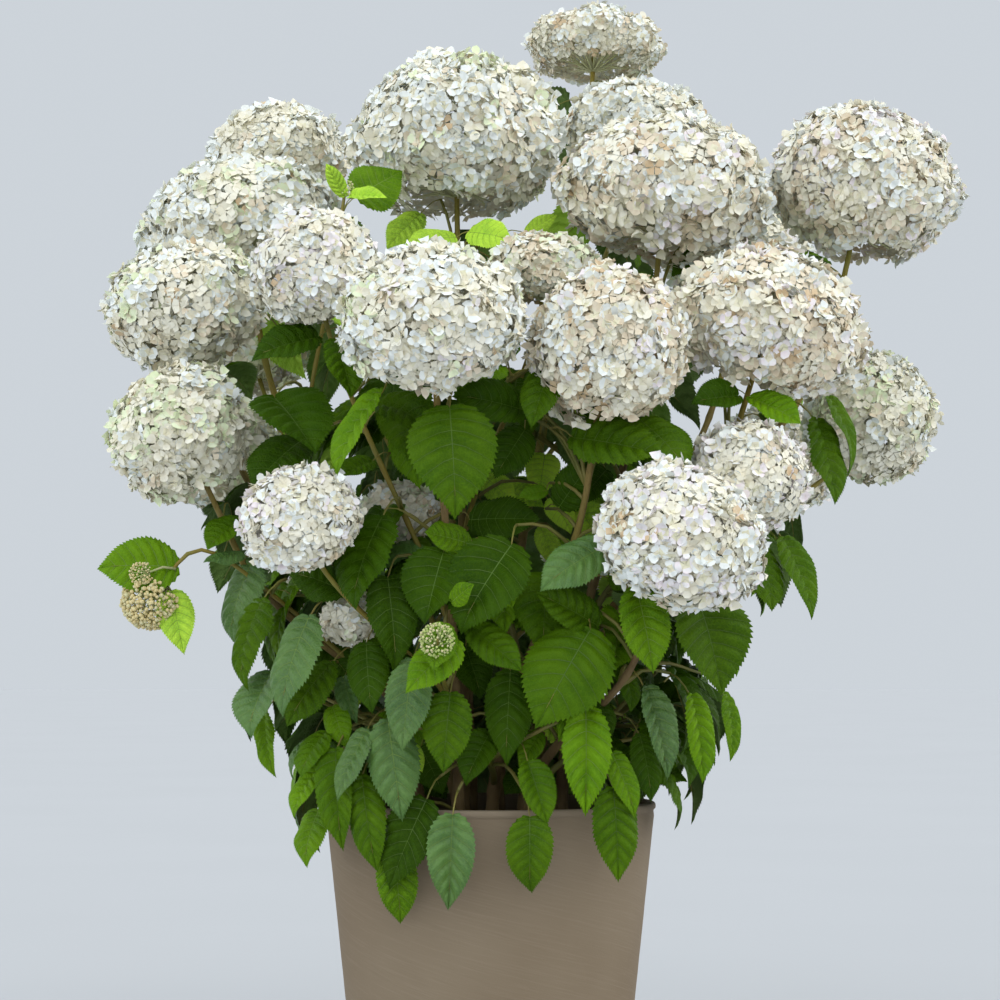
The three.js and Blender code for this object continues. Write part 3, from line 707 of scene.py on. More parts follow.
class Plant:
    """The whole plant's curves, wood and leaves, grown once and shared by the operators."""

    def __init__(self, fill):
        self.canes = cane_curves()
        self.shoots = [grow_bloom(self.canes, i, head) for i, head in enumerate(HEADS)]
        self.shoots += [grow_bud(self.canes, entry) for entry in BUD_SHOOTS]
        self.shoots += [grow_mass(self.canes, i, mass) for i, mass in enumerate(MASSES)]
        placed = self.place_leaves()
        self.front = np.concatenate([probe(leaf) for leaf in placed.leaves])
        for i, shoot in enumerate(self.shoots):
            random = seeded(201 + i)
            solid = node_points(shoot.node)
            for station in shoot.stations:
                for leaf in leaves_at(station, random):
                    if nearest(solid, leaf["tip"]) < NEAR_LEAF and self.fits_the_front(probe(leaf)):
                        shoot.leaves.append(leaf)
        self.shoots.append(placed)
        self.add_inner_leaves(placed)
        self.add_finer_leaves(fill)
        self.trim_twigs()

    def probes(self):
        return np.concatenate([probe(leaf) for shoot in self.shoots for leaf in shoot.leaves])

    def fits_the_front(self, spots):
        shown = in_open_air(spots) or over_front_rim(spots) or hides(spots, self.front)
        return gap_between(self.front, spots) > GAP_TO_PLACED and not shown

    def carry(self, shoot, leaf):
        """Gives a leaf a twig from the nearest wood, a little below where it starts."""
        joint = leaf["joint"]
        away = norm(self.limbs - joint, axis=1)
        away += 0.8 * np.maximum(0, self.limbs[:, 2] - joint[2] + 20)
        source = self.limbs[np.argmin(away)]
        span = norm(joint - source)
        shoot.leaves.append(leaf)
        if span > 12:
            bend = mix(source, joint, 0.5) + UP * span * 0.16
            shoot.wood.append((through([source, bend, joint]), *LEAF_TWIG))

    def place_leaves(self):
        """The placed leaves, each on a twig from the nearest wood or on its bud shoot."""
        shoot = Shoot("leaves_front_middle", "placed")
        limbs = [cane.points(np.linspace(0.05, 0.98, 60)) for cane in self.canes.values()]
        for other in self.shoots:
            wood = other.wood[:1] if other.group == "mass" else other.wood
            limbs += [curve.points(np.linspace(0.05, 0.75, 20)) for curve, _, _ in wood]
        limbs = np.concatenate(limbs)
        self.limbs = limbs[limbs[:, 2] > SOIL_TOP + 15]
        for entry in PLACED:
            self.carry(shoot, placed_leaf(entry))
        for name, entry in BUD_LEAVES:
            leaf = placed_leaf(entry)
            curve = next(other.curve for other in self.shoots if other.node == "bud_shoot_" + name)
            path = curve.points(np.linspace(0.3, 0.93, 40))
            leaf["joint"] = path[np.argmin(norm(path - leaf["base"], axis=1))]
            shoot.leaves.append(leaf)
        return shoot

    def add_inner_leaves(self, shoot):
        """Shaded leaves between the canes, which close the view through the shrub."""
        rng = default_rng(71)
        taken = self.probes()
        for k in range(INNER_LEAVES):
            turn = k * GOLDEN + 0.5 * rng.random()
            height = mix(440, 850, ((k * 0.618) % 1.0) ** 1.1)
            outward = np.array((cos(turn), sin(turn), 0.0))
            level = np.array((-outward[1], outward[0], 0.0))
            base = outward * mix(95, 180, rng.random()) + UP * height
            length = mix(78, 118, rng.random())
            run = outward * mix(0.1, 0.8, rng.random()) + level * rng.normal() * 0.5
            run = unit(run - UP * mix(0.3, 1.1, rng.random()))
            facing = outward + UP * 0.5 + level * 0.3 * rng.normal()
            widest = base + run * length * WIDEST_AT + unit(facing) * length * 0.05
            # Half take the deep green, partly painted shade inside the shrub, and some the lit-through green,
            # painted light through the leaf.
            tint = int(rng.choice(5, p=(0.5, 0.26, 0.08, 0.02, 0.14)))
            leaf = dict(joint=base - outward * 24 + UP * 8, base=base, widest=widest, tip=base + run * length,
                        facing=facing, length=length, tint=tint)
            spots = probe(leaf)
            crowded = gap_between(taken, spots) < GAP_INSIDE or inside_head(spots, 1.05)
            if crowded or inside_planter(spots) or not self.fits_the_front(spots):
                continue
            taken = np.concatenate([taken, spots])
            self.carry(shoot, leaf)

    def add_finer_leaves(self, fill):
        """More leaves by the same rule, between the first ones and only where there is room."""
        taken = self.probes()
        for i, shoot in enumerate(self.shoots):
            random = seeded(301 + i)
            extra = []
            if shoot.group == "mass":
                for curve, _, _ in shoot.wood[1:]:
                    extra += [(curve, *row) for row in ((0.99, 0.62), (0.8, 0.86), (0.55, 0.95), (0.3, 0.9))]
                extra += [(shoot.wood[0][0], share, 0.95) for share in (0.55, 0.78)]
            elif shoot.group == "bloom":
                extra = [(shoot.curve, *row) for row in ((0.8, 0.6), (0.62, 0.75), (0.3, 0.9))]
            for curve, share, size in extra:
                for _ in range(3):
                    station = station_on(curve, share, roll=pi * random(), sweep=0.5 + 0.3 * random(),
                                         droop=0.45 + 0.35 * random(), length=LEAF_LENGTH * size,
                                         petiole=PETIOLE * (0.5 + 0.5 * size))
                    kept = 0
                    for leaf in leaves_at(station, random):
                        spots = probe(leaf)
                        if leaf["tip"][2] < LOWEST_TIP or gap_between(taken, spots) < GAP_OF_FINE / fill:
                            continue
                        if inside_head(spots, 1.08) or inside_planter(spots):
                            continue
                        too_far = np.max(np.hypot(spots[:, 0], spots[:, 1])) > FARTHEST_LEAF
                        if too_far or not self.fits_the_front(spots):
                            continue
                        shoot.leaves.append(leaf)
                        taken = np.concatenate([taken, spots])
                        kept += 1
                    if kept:
                        break

    def trim_twigs(self):
        """Ends each twig of a mass at its last leaf, and leaves out the bare ones."""
        for shoot in self.shoots:
            if shoot.group != "mass" or not shoot.leaves:
                continue
            joints = np.array([leaf["joint"] for leaf in shoot.leaves])
            kept = shoot.wood[:1]
            for curve, foot, tip in shoot.wood[1:]:
                path = curve.points(np.linspace(0, 1, 101))
                near = norm(path[:, None] - joints, axis=2).min(axis=1) < 1.5
                if near.any():
                    last = min(1.0, np.nonzero(near)[0].max() / 100 + 0.015)
                    kept.append((straight(path[0], curve.point(last)), foot, tip))
            shoot.wood = kept


@cache
def grown(fill):
    """The plant that grows with a fill, made once for all operators."""
    return Plant(fill)


def plant():
    return grown(bpy.context.scene.hydrangea.foliage.fill)


# Shader nodes


def node(tree, kind, inputs=None, **settings):
    """A new node. An input value that is a socket is linked, and a number or colour is set."""
    made = tree.nodes.new(kind)
    for key, value in settings.items():
        setattr(made, key, value)
    for key, value in (inputs or {}).items():
        if isinstance(value, bpy.types.NodeSocket):
            tree.links.new(value, made.inputs[key])
        elif isinstance(value, (int, float)):
            made.inputs[key].default_value = value
        else:
            made.inputs[key].default_value = (*value[:3], 1)
    return made


def mixed(tree, share, first, second):
    """A colour between two others."""
    return node(tree, "ShaderNodeMix", {0: share, 6: first, 7: second}, data_type="RGBA").outputs[2]


def ranged(tree, value, low, high, to_low=0.0, to_high=1.0):
    """A value moved from one range to another and kept inside it."""
    made = node(tree, "ShaderNodeMapRange", {"Value": value, "From Min": low, "From Max": high,
                                             "To Min": to_low, "To Max": to_high})
    return made.outputs["Result"]


def reckoned(tree, operation, first, second):
    """The result of one sum or product."""
    return node(tree, "ShaderNodeMath", {0: first, 1: second}, operation=operation).outputs[0]


def place_on(tree):
    """Where each point lies on the object, in metres."""
    return node(tree, "ShaderNodeTexCoord").outputs["Object"]


def apart(tree, place):
    """The X, Y and Z of a place."""
    return node(tree, "ShaderNodeSeparateXYZ", {"Vector": place}).outputs


def clouds(tree, place, scale, detail=2.0, roughness=0.5):
    """Soft noise from 0 to 1."""
    values = {"Vector": place, "Scale": scale, "Detail": detail, "Roughness": roughness}
    return node(tree, "ShaderNodeTexNoise", values).outputs["Fac"]


def new_group(name, inputs, outputs):
    """An empty node group with its sockets, as its tree, what is given to it and what it makes."""
    tree = bpy.data.node_groups.new(name, "ShaderNodeTree")
    for way, sockets in (("INPUT", inputs), ("OUTPUT", outputs)):
        for label, kind in sockets.items():
            tree.interface.new_socket(label, in_out=way, socket_type="NodeSocket" + kind)
    return tree, node(tree, "NodeGroupInput").outputs, node(tree, "NodeGroupOutput").inputs


def mottle_group(name):
    """Two colours in soft patches, each island of the mesh a little lighter or darker."""
    tree, given, made = new_group(
        name,
        {"First": "Color", "Second": "Color", "Patch Scale": "Float", "Grain Scale": "Float",
         "Island Shade": "Float"},
        {"Colour": "Color", "Grain": "Float"},
    )
    place = place_on(tree)
    patches = ranged(tree, clouds(tree, place, given["Patch Scale"], 3.0), 0.34, 0.66)
    colour = mixed(tree, patches, given["First"], given["Second"])
    island = node(tree, "ShaderNodeNewGeometry").outputs["Random Per Island"]
    shade = reckoned(tree, "MULTIPLY", ranged(tree, island, 0, 1, -1, 1), given["Island Shade"])
    value = reckoned(tree, "ADD", shade, 1.0)
    tinted = node(tree, "ShaderNodeHueSaturation", {"Color": colour, "Value": value})
    tree.links.new(tinted.outputs["Color"], made["Colour"])
    tree.links.new(clouds(tree, place, given["Grain Scale"], 4.0), made["Grain"])
    return tree


def fibre_group(name):
    """Long fine streaks along the height, turned round the axis by a slant."""
    inputs = {"Scale": "Float", "Slant": "Float", "Stretch": "Float"}
    tree, given, made = new_group(name, inputs, {"Streaks": "Float"})
    place = place_on(tree)
    turn = reckoned(tree, "MULTIPLY", apart(tree, place)["Z"], given["Slant"])
    slanted = node(tree, "ShaderNodeVectorRotate", {"Vector": place, "Angle": turn}, rotation_type="Z_AXIS")
    part = apart(tree, slanted.outputs[0])
    flat = reckoned(tree, "DIVIDE", part["Z"], given["Stretch"])
    joined = node(tree, "ShaderNodeCombineXYZ", {"X": part["X"], "Y": part["Y"], "Z": flat})
    tree.links.new(clouds(tree, joined.outputs[0], given["Scale"], 5.0, 0.62), made["Streaks"])
    return tree


def in_group(tree, name, make, values):
    """The outputs of a group with a material's own values. It is made when it is first placed."""
    group = bpy.data.node_groups.get(name) or make(name)
    return node(tree, "ShaderNodeGroup", values, node_tree=group).outputs


def mottled(tree, first, second, patches, grain, shade):
    """The colour and the grain of a mottled surface."""
    values = {"First": first, "Second": second, "Patch Scale": patches, "Grain Scale": grain,
              "Island Shade": shade}
    return in_group(tree, "Mottle", mottle_group, values)


def streaks(tree, scale, slant, stretch):
    """Noise in long fibres, which are turned round the axis as they rise where slant isn't 0."""
    values = {"Scale": scale, "Slant": slant, "Stretch": stretch}
    return in_group(tree, "Fibre", fibre_group, values)["Streaks"]


def new_material(name, roughness, shine=0.5):
    """A new material, its node tree, and the inputs of its shader."""
    made = bpy.data.materials.new(name)
    made.use_nodes = True
    surface = made.node_tree.nodes["Principled BSDF"].inputs
    surface["Roughness"].default_value = roughness
    surface["Specular IOR Level"].default_value = shine
    return made, made.node_tree, surface


def finish(tree, surface, colour, height, strength, distance, roughness=None):
    """Joins the colour, the relief and a roughness that changes over the surface to the shader."""
    relief = node(tree, "ShaderNodeBump", {"Height": height, "Strength": strength, "Distance": distance})
    tree.links.new(colour, surface["Base Color"])
    tree.links.new(relief.outputs["Normal"], surface["Normal"])
    if roughness is not None:
        tree.links.new(roughness, surface["Roughness"])


def shaded(colour, factor):
    """A colour with its red, green and blue scaled."""
    return tuple(clamp(value * scale) for value, scale in zip(colour, factor))


def petal_material(name, light, blotch):
    """A dull petal, blotched with a second colour."""
    made, tree, surface = new_material(name, roughness=0.68, shine=0.25)
    colour, grain = mottled(tree, light, blotch, patches=70, grain=900, shade=0.05)
    finish(tree, surface, colour, grain, strength=0.35, distance=0.0006)
    return made


def plain_wood(name, first, second, roughness=0.55):
    """Fine-grained stalk or twig of two colours."""
    made, tree, surface = new_material(name, roughness)
    colour, grain = mottled(tree, first, second, patches=30, grain=600, shade=0.1)
    finish(tree, surface, colour, grain, strength=0.4, distance=0.0008)
    return made


def leaf_material(name, light, shine):
    """A leaf with a fine pale net on its upper side and a paler back."""
    made, tree, surface = new_material(name, roughness=0.46, shine=shine)
    dark = shaded(light, (0.62, 0.72, 0.8))
    green, grain = mottled(tree, light, dark, patches=26, grain=420, shade=0.16)
    cells = node(tree, "ShaderNodeTexVoronoi", {"Vector": place_on(tree), "Scale": 210},
                 feature="DISTANCE_TO_EDGE")
    net = ranged(tree, cells.outputs["Distance"], 0.0, 0.16)
    upper = mixed(tree, ranged(tree, net, 0, 1, 0.45, 0.0), green, shaded(light, (1.2, 1.15, 1.0)))
    pale = tuple(max(pair) for pair in zip(light, (0.24, 0.34, 0.13)))
    back = node(tree, "ShaderNodeNewGeometry").outputs["Backfacing"]
    colour = mixed(tree, back, upper, mixed(tree, 0.5, green, pale))
    roughness = ranged(tree, grain, 0.3, 0.7, 0.38, 0.56)
    finish(tree, surface, colour, net, strength=0.5, distance=0.0007, roughness=roughness)
    return made


def bark_material(low, high):
    """Cracked bark near the soil, which turns smooth and green further up."""
    made, tree, surface = new_material("bark_of_canes", roughness=0.72)
    dark, light = shaded(low, (0.62, 0.58, 0.52)), shaded(high, (1.3, 1.05, 0.8))
    old, _ = mottled(tree, low, dark, patches=24, grain=500, shade=0.1)
    young, _ = mottled(tree, high, light, patches=18, grain=500, shade=0.1)
    fibre = streaks(tree, scale=330, slant=0, stretch=9)
    place = place_on(tree)
    wander = ranged(tree, clouds(tree, place, 9), 0.3, 0.7, -0.2, 0.2)
    age = ranged(tree, reckoned(tree, "ADD", apart(tree, place)["Z"], wander), 0.62, 1.02)
    cracks = ranged(tree, fibre, 0.42, 0.3, 0.0, 0.6)
    colour = mixed(tree, cracks, mixed(tree, age, old, young), shaded(low, (0.3, 0.26, 0.22)))
    roughness = ranged(tree, fibre, 0.3, 0.7, 0.85, 0.6)
    finish(tree, surface, colour, fibre, strength=0.8, distance=0.0012, roughness=roughness)
    return made


def clay_material(clay):
    """Clay with the marks of a brush, a rim worn pale and a foot that is darker towards the bottom."""
    made, tree, surface = new_material("fired_clay", roughness=0.82, shine=0.25)
    body, grain = mottled(tree, clay, shaded(clay, (0.86, 0.83, 0.8)), patches=5, grain=700, shade=0)
    fine = streaks(tree, scale=120, slant=21, stretch=2.2)
    broad = streaks(tree, scale=75, slant=15, stretch=2)
    pale = shaded(clay, (1.35, 1.42, 1.55))
    brushed = mixed(tree, ranged(tree, fine, 0.5, 0.72, 0.0, 0.22), body, pale)
    scrapes = ranged(tree, broad, 0.42, 0.28, 0.0, 0.2)
    scraped = mixed(tree, scrapes, brushed, shaded(clay, (0.72, 0.68, 0.64)))
    place = place_on(tree)
    height, patches = apart(tree, place)["Z"], clouds(tree, place, 11, 5.0)
    near_rim, near_foot = ranged(tree, height, 0.389, 0.3985), ranged(tree, height, 0.05, 0.0)
    rim = reckoned(tree, "MULTIPLY", near_rim, ranged(tree, patches, 0.3, 0.65))
    worn = mixed(tree, ranged(tree, rim, 0, 1, 0.0, 0.6), scraped, pale)
    # The foot turns darker towards the bottom, in patches.
    foot = reckoned(tree, "MULTIPLY", near_foot, ranged(tree, patches, 0.35, 0.6))
    darkened = mixed(tree, ranged(tree, foot, 0, 1, 0.0, 0.5), worn, shaded(clay, (0.7, 0.66, 0.62)))
    relief = reckoned(tree, "ADD", fine, grain)
    roughness = ranged(tree, grain, 0.3, 0.7, 0.74, 0.92)
    finish(tree, surface, darkened, relief, strength=0.2, distance=0.0008, roughness=roughness)
    return made


def soil_material(soil):
    """Dark crumbs with a few pale flecks."""
    made, tree, surface = new_material("potting_mix", roughness=0.95, shine=0.2)
    body, grain = mottled(tree, soil, shaded(soil, (0.45, 0.45, 0.45)), patches=60, grain=420, shade=0.35)
    flecks = node(tree, "ShaderNodeTexVoronoi", {"Vector": place_on(tree), "Scale": 210}).outputs["Distance"]
    colour = mixed(tree, ranged(tree, flecks, 0.16, 0.1, 0.0, 0.5), body, (0.26, 0.19, 0.13))
    finish(tree, surface, colour, grain, strength=0.9, distance=0.003)
    return made


# Pieces


def turned(pile, profile, sides, wobble=0.0):
    """A skin round the Z axis from a profile of (radius, height) rows."""
    profile = np.asarray(profile, dtype=float)
    turn = np.arange(sides) * 2 * pi / sides
    ripple = np.array([[noise.noise(Vector((cos(a) * 3, sin(a) * 3, z / 22))) for a in turn]
                       for _, z in profile]) * wobble
    radius = profile[:, :1] + ripple * (profile[:, :1] > 1)
    heights = np.broadcast_to(profile[:, 1:], radius.shape)
    points = np.stack([radius * np.cos(turn), radius * np.sin(turn), heights], axis=-1)
    pile.add(points, 0, ring_quads(len(profile), sides))


def rounded(corners, corner, steps, radius):
    """An arc-like curve in place of one corner of a profile."""
    before, at, after = (np.array(corners[corner + k], dtype=float) for k in (-1, 0, 1))
    first = at + unit(before - at) * radius
    last = at + unit(after - at) * radius
    return [(1 - t) ** 2 * first + 2 * t * (1 - t) * at + t * t * last for t in np.linspace(0, 1, steps)]


def make_planter(settings):
    """The clay planter, turned from one profile that runs up its outside and down its inside."""
    height, rim, wall = settings.height / MM, settings.rim_radius / MM, settings.wall / MM
    foot, lip, step, floor = settings.foot_radius / MM, 9, 1.6, 18

    def side(z):
        return mix(foot, rim, z / height)

    corners = [(4, 0), (foot, 0), (side(height - lip) - step, height - lip), (rim, height - lip + step),
               (rim, height), (rim - wall, height), (side(floor) - wall, floor), (4, floor)]
    profile = [(0.5, 3), (foot - 22, 3), (foot - 18, 0.6), (foot - 8, 0)]
    profile += rounded(corners, 1, steps=6, radius=4)
    profile += [(side(z) - step * 0.2 * (z / height), z) for z in np.linspace(14, height - lip - 8, 22)]
    profile += rounded(corners, 2, steps=4, radius=2.0) + rounded(corners, 3, steps=4, radius=1.2)
    profile += rounded(corners, 4, steps=7, radius=4.5) + rounded(corners, 5, steps=7, radius=4.5)
    profile += [(mix(rim - wall, side(floor) - wall, t), mix(height, floor, t))
                for t in (0.06, 0.12, 0.3, 0.6, 0.9)]
    profile += [(side(floor) - wall - 6, floor), (0.5, floor)]
    pile = Pile()
    turned(pile, profile, sides=144, wobble=0.35)
    pile.build("planter_of_clay", [clay_material(settings.clay)], "clay", ["planter"])


def lump_form(rng, rough):
    """A small uneven lump of twenty faces, of radius one."""
    g = (1 + sqrt(5)) / 2
    points = np.array([
        (-1, g, 0), (1, g, 0), (-1, -g, 0), (1, -g, 0), (0, -1, g), (0, 1, g),
        (0, -1, -g), (0, 1, -g), (g, 0, -1), (g, 0, 1), (-g, 0, -1), (-g, 0, 1),
    ], dtype=float)
    faces = np.array([
        (0, 11, 5), (0, 5, 1), (0, 1, 7), (0, 7, 10), (0, 10, 11), (1, 5, 9), (5, 11, 4),
        (11, 10, 2), (10, 7, 6), (7, 1, 8), (3, 9, 4), (3, 4, 2), (3, 2, 6), (3, 6, 8),
        (3, 8, 9), (4, 9, 5), (2, 4, 11), (6, 2, 10), (8, 6, 7), (9, 8, 1),
    ])
    return unit(points) * (1 + rough * (rng.random((12, 1)) - 0.5) * 2), faces


def random_axes(rng, count):
    """Three axes for each form, turned any way."""
    first = unit(rng.normal(size=(count, 3)))
    second = unit(np.cross(first, unit(rng.normal(size=(count, 3)))))
    return np.stack([first, second, np.cross(first, second)], axis=1)


def make_soil(settings, foliage):
    """A crumbly bed with loose lumps of eight forms on it."""
    rng = default_rng(5)
    inner = mix(settings.foot_radius, settings.rim_radius, SOIL_TOP * MM / settings.height) / MM
    inner -= settings.wall / MM + 0.6
    pile = Pile()
    radii = np.concatenate([[0.5], np.linspace(0, 1, 27)[1:] ** 0.8 * inner])
    sides, points = 96, []
    for r in radii:
        for a in np.arange(sides) * 2 * pi / sides:
            x, y = r * cos(a), r * sin(a)
            rise = 3.2 * noise.fractal(Vector((x / 34, y / 34, 2.0)), 0.7, 2.2, 5)
            points.append((x, y, SOIL_TOP - 2 + rise - 3 * (r / inner) ** 6))
    pile.add(points, 0, ring_quads(len(radii), sides)[:, [0, 3, 2, 1]])
    turned(pile, [(0.5, SOIL_TOP - 30), (inner - 1, SOIL_TOP - 30), (inner, SOIL_TOP - 5)], sides=48)
    forms, count = 8, 75
    for _ in range(forms):
        form, faces = lump_form(rng, 0.4)
        far = inner * 0.97 * np.sqrt(rng.random(count))
        angle = rng.random(count) * 2 * pi
        size = 1.2 + 3.6 * rng.random(count) ** 2.5
        at = np.stack([far * np.cos(angle), far * np.sin(angle), np.full(count, SOIL_TOP - 1.0)], axis=-1)
        kinds = np.zeros(count * len(faces))
        copies(pile, form * (1.0, 0.8, 0.55), faces, kinds, at, random_axes(rng, count), size)
    pile.build("soil_bed", [soil_material(foliage.soil)], "soil", ["potting_soil"])


def swollen(radius, run, joints, rise, width):
    """The radius of a limb with a swelling at each joint."""
    for joint in joints:
        radius = radius * (1 + rise * np.exp(-(((run - joint) / width) ** 2)))
    return radius


def make_canes(settings):
    """One tube from the soil to the inside of each leading head, with swollen joints."""
    rng = default_rng(21)
    pile = Pile()
    nodes, sides = [], 12
    for name, at, _, _, source, _ in HEADS:
        if source:
            continue
        curve = plant().canes[name]
        nodes.append("cane_" + name)
        axis = head_axis(at)
        steps = int(curve.length / CANE_STEP)
        path = curve.points(np.linspace(0, 1, steps))
        neck = [path[-1] + axis * (NECK + SUNK) * t for t in np.linspace(0, 1, 14)[1:]]
        path = np.concatenate([path, neck])
        path[0] -= UP * 3
        run = run_of(path)
        share = np.minimum(run / curve.length, 1)
        radius = mix(CANE[0], CANE[1], share) * (1 + 0.45 * np.maximum(0, 1 - share * 8))
        radius[steps:] = np.linspace(CANE[1], CANE[2], len(neck))
        joints = np.arange(40 + 40 * rng.random(), run[-1] - 60, CANE_JOINTS) + rng.normal(size=1) * 6
        radius = swollen(radius, run, joints, 0.2, 6)
        relief = np.array([[noise.noise(Vector((cos(a) * 2.1, sin(a) * 2.1 + len(nodes) * 7, z / 26)))
                            for a in np.arange(sides) * 2 * pi / sides] for z in run])
        worn = (1 - 0.75 * share)[:, None]
        tube(pile, path, radius[:, None] * (1 + 0.14 * relief * worn), sides)
    pile.build("canes", [bark_material(settings.low, settings.high)], "bark", nodes)


def make_twigs(settings):
    """Stalks, stems and twigs of every shoot, and the stalk and underside rib of every leaf."""
    rng = default_rng(31)
    pile = Pile()
    green, bark, leaf_stalk = range(3)
    for shoot in plant().shoots:
        kind = bark if shoot.group in ("mass", "placed") else green
        for k, (curve, foot, tip) in enumerate(shoot.wood):
            shares = np.linspace(0, 1, max(4, int(curve.length / WOOD_STEP)))
            path = curve.points(shares)
            if shoot.group == "mass" and k:
                sag = np.sin(shares * pi)[:, None] * curve.length * 0.014
                path = path + sag * (unit(rng.normal(size=3)) * 0.6 + UP)
            joints = np.arange(30, curve.length - 10, WOOD_JOINTS)
            radius = swollen(mix(foot, tip, shares), shares * curve.length, joints, 0.22, 5)
            tube(pile, path, radius, 7, kind)
        for leaf in shoot.leaves:
            at, _, normal = leaf_line(leaf, (0.0, 0.1, 0.3, 0.55, 0.8))
            joint, base = leaf["joint"], leaf["base"]
            bow = norm(base - joint) * 0.12 * UP
            stalk = [joint, mix(joint, base, 0.35) + bow, mix(joint, base, 0.72) + bow * 0.8]
            size = clamp(leaf["length"] / LEAF_LENGTH, 0.5, 1.1)
            radii = np.array((1.9, 1.35, 1.2, 1.15, 0.95, 0.75, 0.5, 0.25)) * size
            under = at - normal * (radii[3:] * 0.55)[:, None]
            tube(pile, [*stalk, *under], radii, 5, leaf_stalk)
    materials = [plain_wood(name, colour, shaded(colour, factor)) for name, colour, factor in (
        ("green_stalk", settings.high, (1.25, 1.02, 0.8)), ("twig_bark", settings.twig, (0.65, 0.8, 0.6)),
        ("leaf_stalk", settings.leaf_stalk, (0.8, 1.05, 0.8)))]
    nodes = sorted({shoot.node for shoot in plant().shoots})
    pile.build("twigs_and_stalks", materials, "foliage", nodes)


# Half the outline of a leaf of length one, the rows of its points that lie on veins, the shares of
# the rib and of the outline that each vein joins, and where the rows have points between the two.
OUTLINE = (
    (0.0, 0.0), (-0.016, 0.06), (-0.014, 0.14), (0.02, 0.25), (0.09, 0.365), (0.19, 0.455), (0.32, 0.5),
    (0.46, 0.492), (0.59, 0.44), (0.70, 0.355), (0.79, 0.255), (0.865, 0.155), (0.92, 0.085),
    (0.965, 0.038), (1.0, 0.0),
)
VEIN_ROWS = (0, 2, 5, 8, 11, 14, 17, 20, 24)
RIB_AT = (0.0, 0.02, 0.11, 0.22, 0.345, 0.475, 0.61, 0.75, 0.93)
EDGE_AT = (0.03, 0.2, 0.34, 0.46, 0.57, 0.67, 0.77, 0.865, 0.965)
ACROSS = (0.3, 0.68)


class LeafPlan:
    """A flat leaf of length one: points with relief, faces, and the strips of its veins."""

    def __init__(self, rng, breadth, shift, tooth):
        outline = through([np.array((x + shift * sin(pi * clamp(x)), y * breadth, 0.0)) for x, y in OUTLINE])
        rows = np.arange(VEIN_ROWS[-1] + 1)
        rib = np.interp(rows, VEIN_ROWS, RIB_AT)
        edge = np.interp(rows, VEIN_ROWS, EDGE_AT) + 0.005 * (rng.random(len(rows)) - 0.5)
        veins = VEIN_ROWS[1:-1]
        self.points, self.faces, self.veins, self.vein_faces = [], [], [], []
        ribs = [self.point(x, 0.0, 0.0) for x in rib]
        tip = self.point(1.0, 0.0, 0.0)
        for side in (1, -1):
            grid = [[ribs[r]] for r in rows]
            for r in rows:
                outer = outline.point(edge[r])
                full = sin(pi * clamp(0.12 + r / len(rows))) * 0.5 + 0.5
                for v in ACROSS:
                    x = rib[r] + (outer[0] - rib[r]) * v**1.3
                    swell = -0.003 if r in veins else 0.027 * full * sin(pi * v**0.8)
                    grid[r].append(self.point(x, side * outer[1] * v, swell))
            for r in rows[:-1]:
                for c in range(2):
                    self.face(side, grid[r][c], grid[r + 1][c], grid[r + 1][c + 1], grid[r][c + 1])
            teeth = []
            for j in range(2 * len(rows) - 1):
                e = np.interp(j / 2, rows, edge)
                at, ahead = outline.point(e), outline.tangent(e)
                inward = np.array((ahead[1], -ahead[0], 0.0))
                size = tooth * (0.6 + 0.4 * sin(pi * clamp(e * 1.05)))
                if j % 2:
                    at = at + ahead * size * 0.7 - inward * size * 0.4
                else:
                    at = at + inward * size * (0.4 + 0.35 * rng.random())
                teeth.append(self.point(at[0], side * max(at[1], 0.002), 0.0))
            for r in rows[:-1]:
                near, far, j = grid[r][2], grid[r + 1][2], 2 * r
                self.face(side, near, teeth[j + 1], teeth[j])
                self.face(side, near, far, teeth[j + 1])
                self.face(side, far, teeth[j + 2], teeth[j + 1])
            last = [*grid[-1], teeth[-1]]
            for a, b in zip(last[:-1], last[1:]):
                self.face(side, a, tip, b)
            for r in veins:
                outer = outline.point(edge[r])
                v = np.array((0.0, *ACROSS, 0.97))
                x = rib[r] + (outer[0] - rib[r]) * v**1.3
                self.strip(x, side * outer[1] * v, np.linspace(0.0034, 0.0012, 4) * (1 - 0.3 * rib[r]), 1)
        self.strip(np.append(rib[::2], 0.985), np.zeros(14), np.linspace(0.006, 0.001, 14), 2)
        self.points, self.veins = np.array(self.points), np.array(self.veins)
        self.faces, self.vein_faces = np.array(self.faces), np.array(self.vein_faces)

    def point(self, x, y, z):
        self.points.append((x, y, z))
        return len(self.points) - 1

    def face(self, side, *corners):
        """One or two triangles whose upper side is up on both halves of the leaf."""
        corners = corners if side > 0 else corners[::-1]
        for k in range(1, len(corners) - 1):
            self.faces.append((corners[0], corners[k], corners[k + 1]))

    def strip(self, x, y, half, rows):
        """A narrow ribbon along a vein, of one row of faces or of two with a ridge."""
        run = unit(np.stack([np.gradient(x), np.gradient(y)], axis=-1))
        first = len(self.veins)
        for i in range(len(x)):
            dx, dy = -run[i][1] * half[i], run[i][0] * half[i]
            self.veins.append((x[i] - dx, y[i] - dy, 0.0012))
            if rows == 2:
                self.veins.append((x[i], y[i], 0.003))
            self.veins.append((x[i] + dx, y[i] + dy, 0.0012))
        for i in range(len(x) - 1):
            for k in range(rows):
                a = first + (rows + 1) * i + k
                self.vein_faces += [(a, a + rows + 1, a + rows + 2), (a, a + rows + 2, a + 1)]


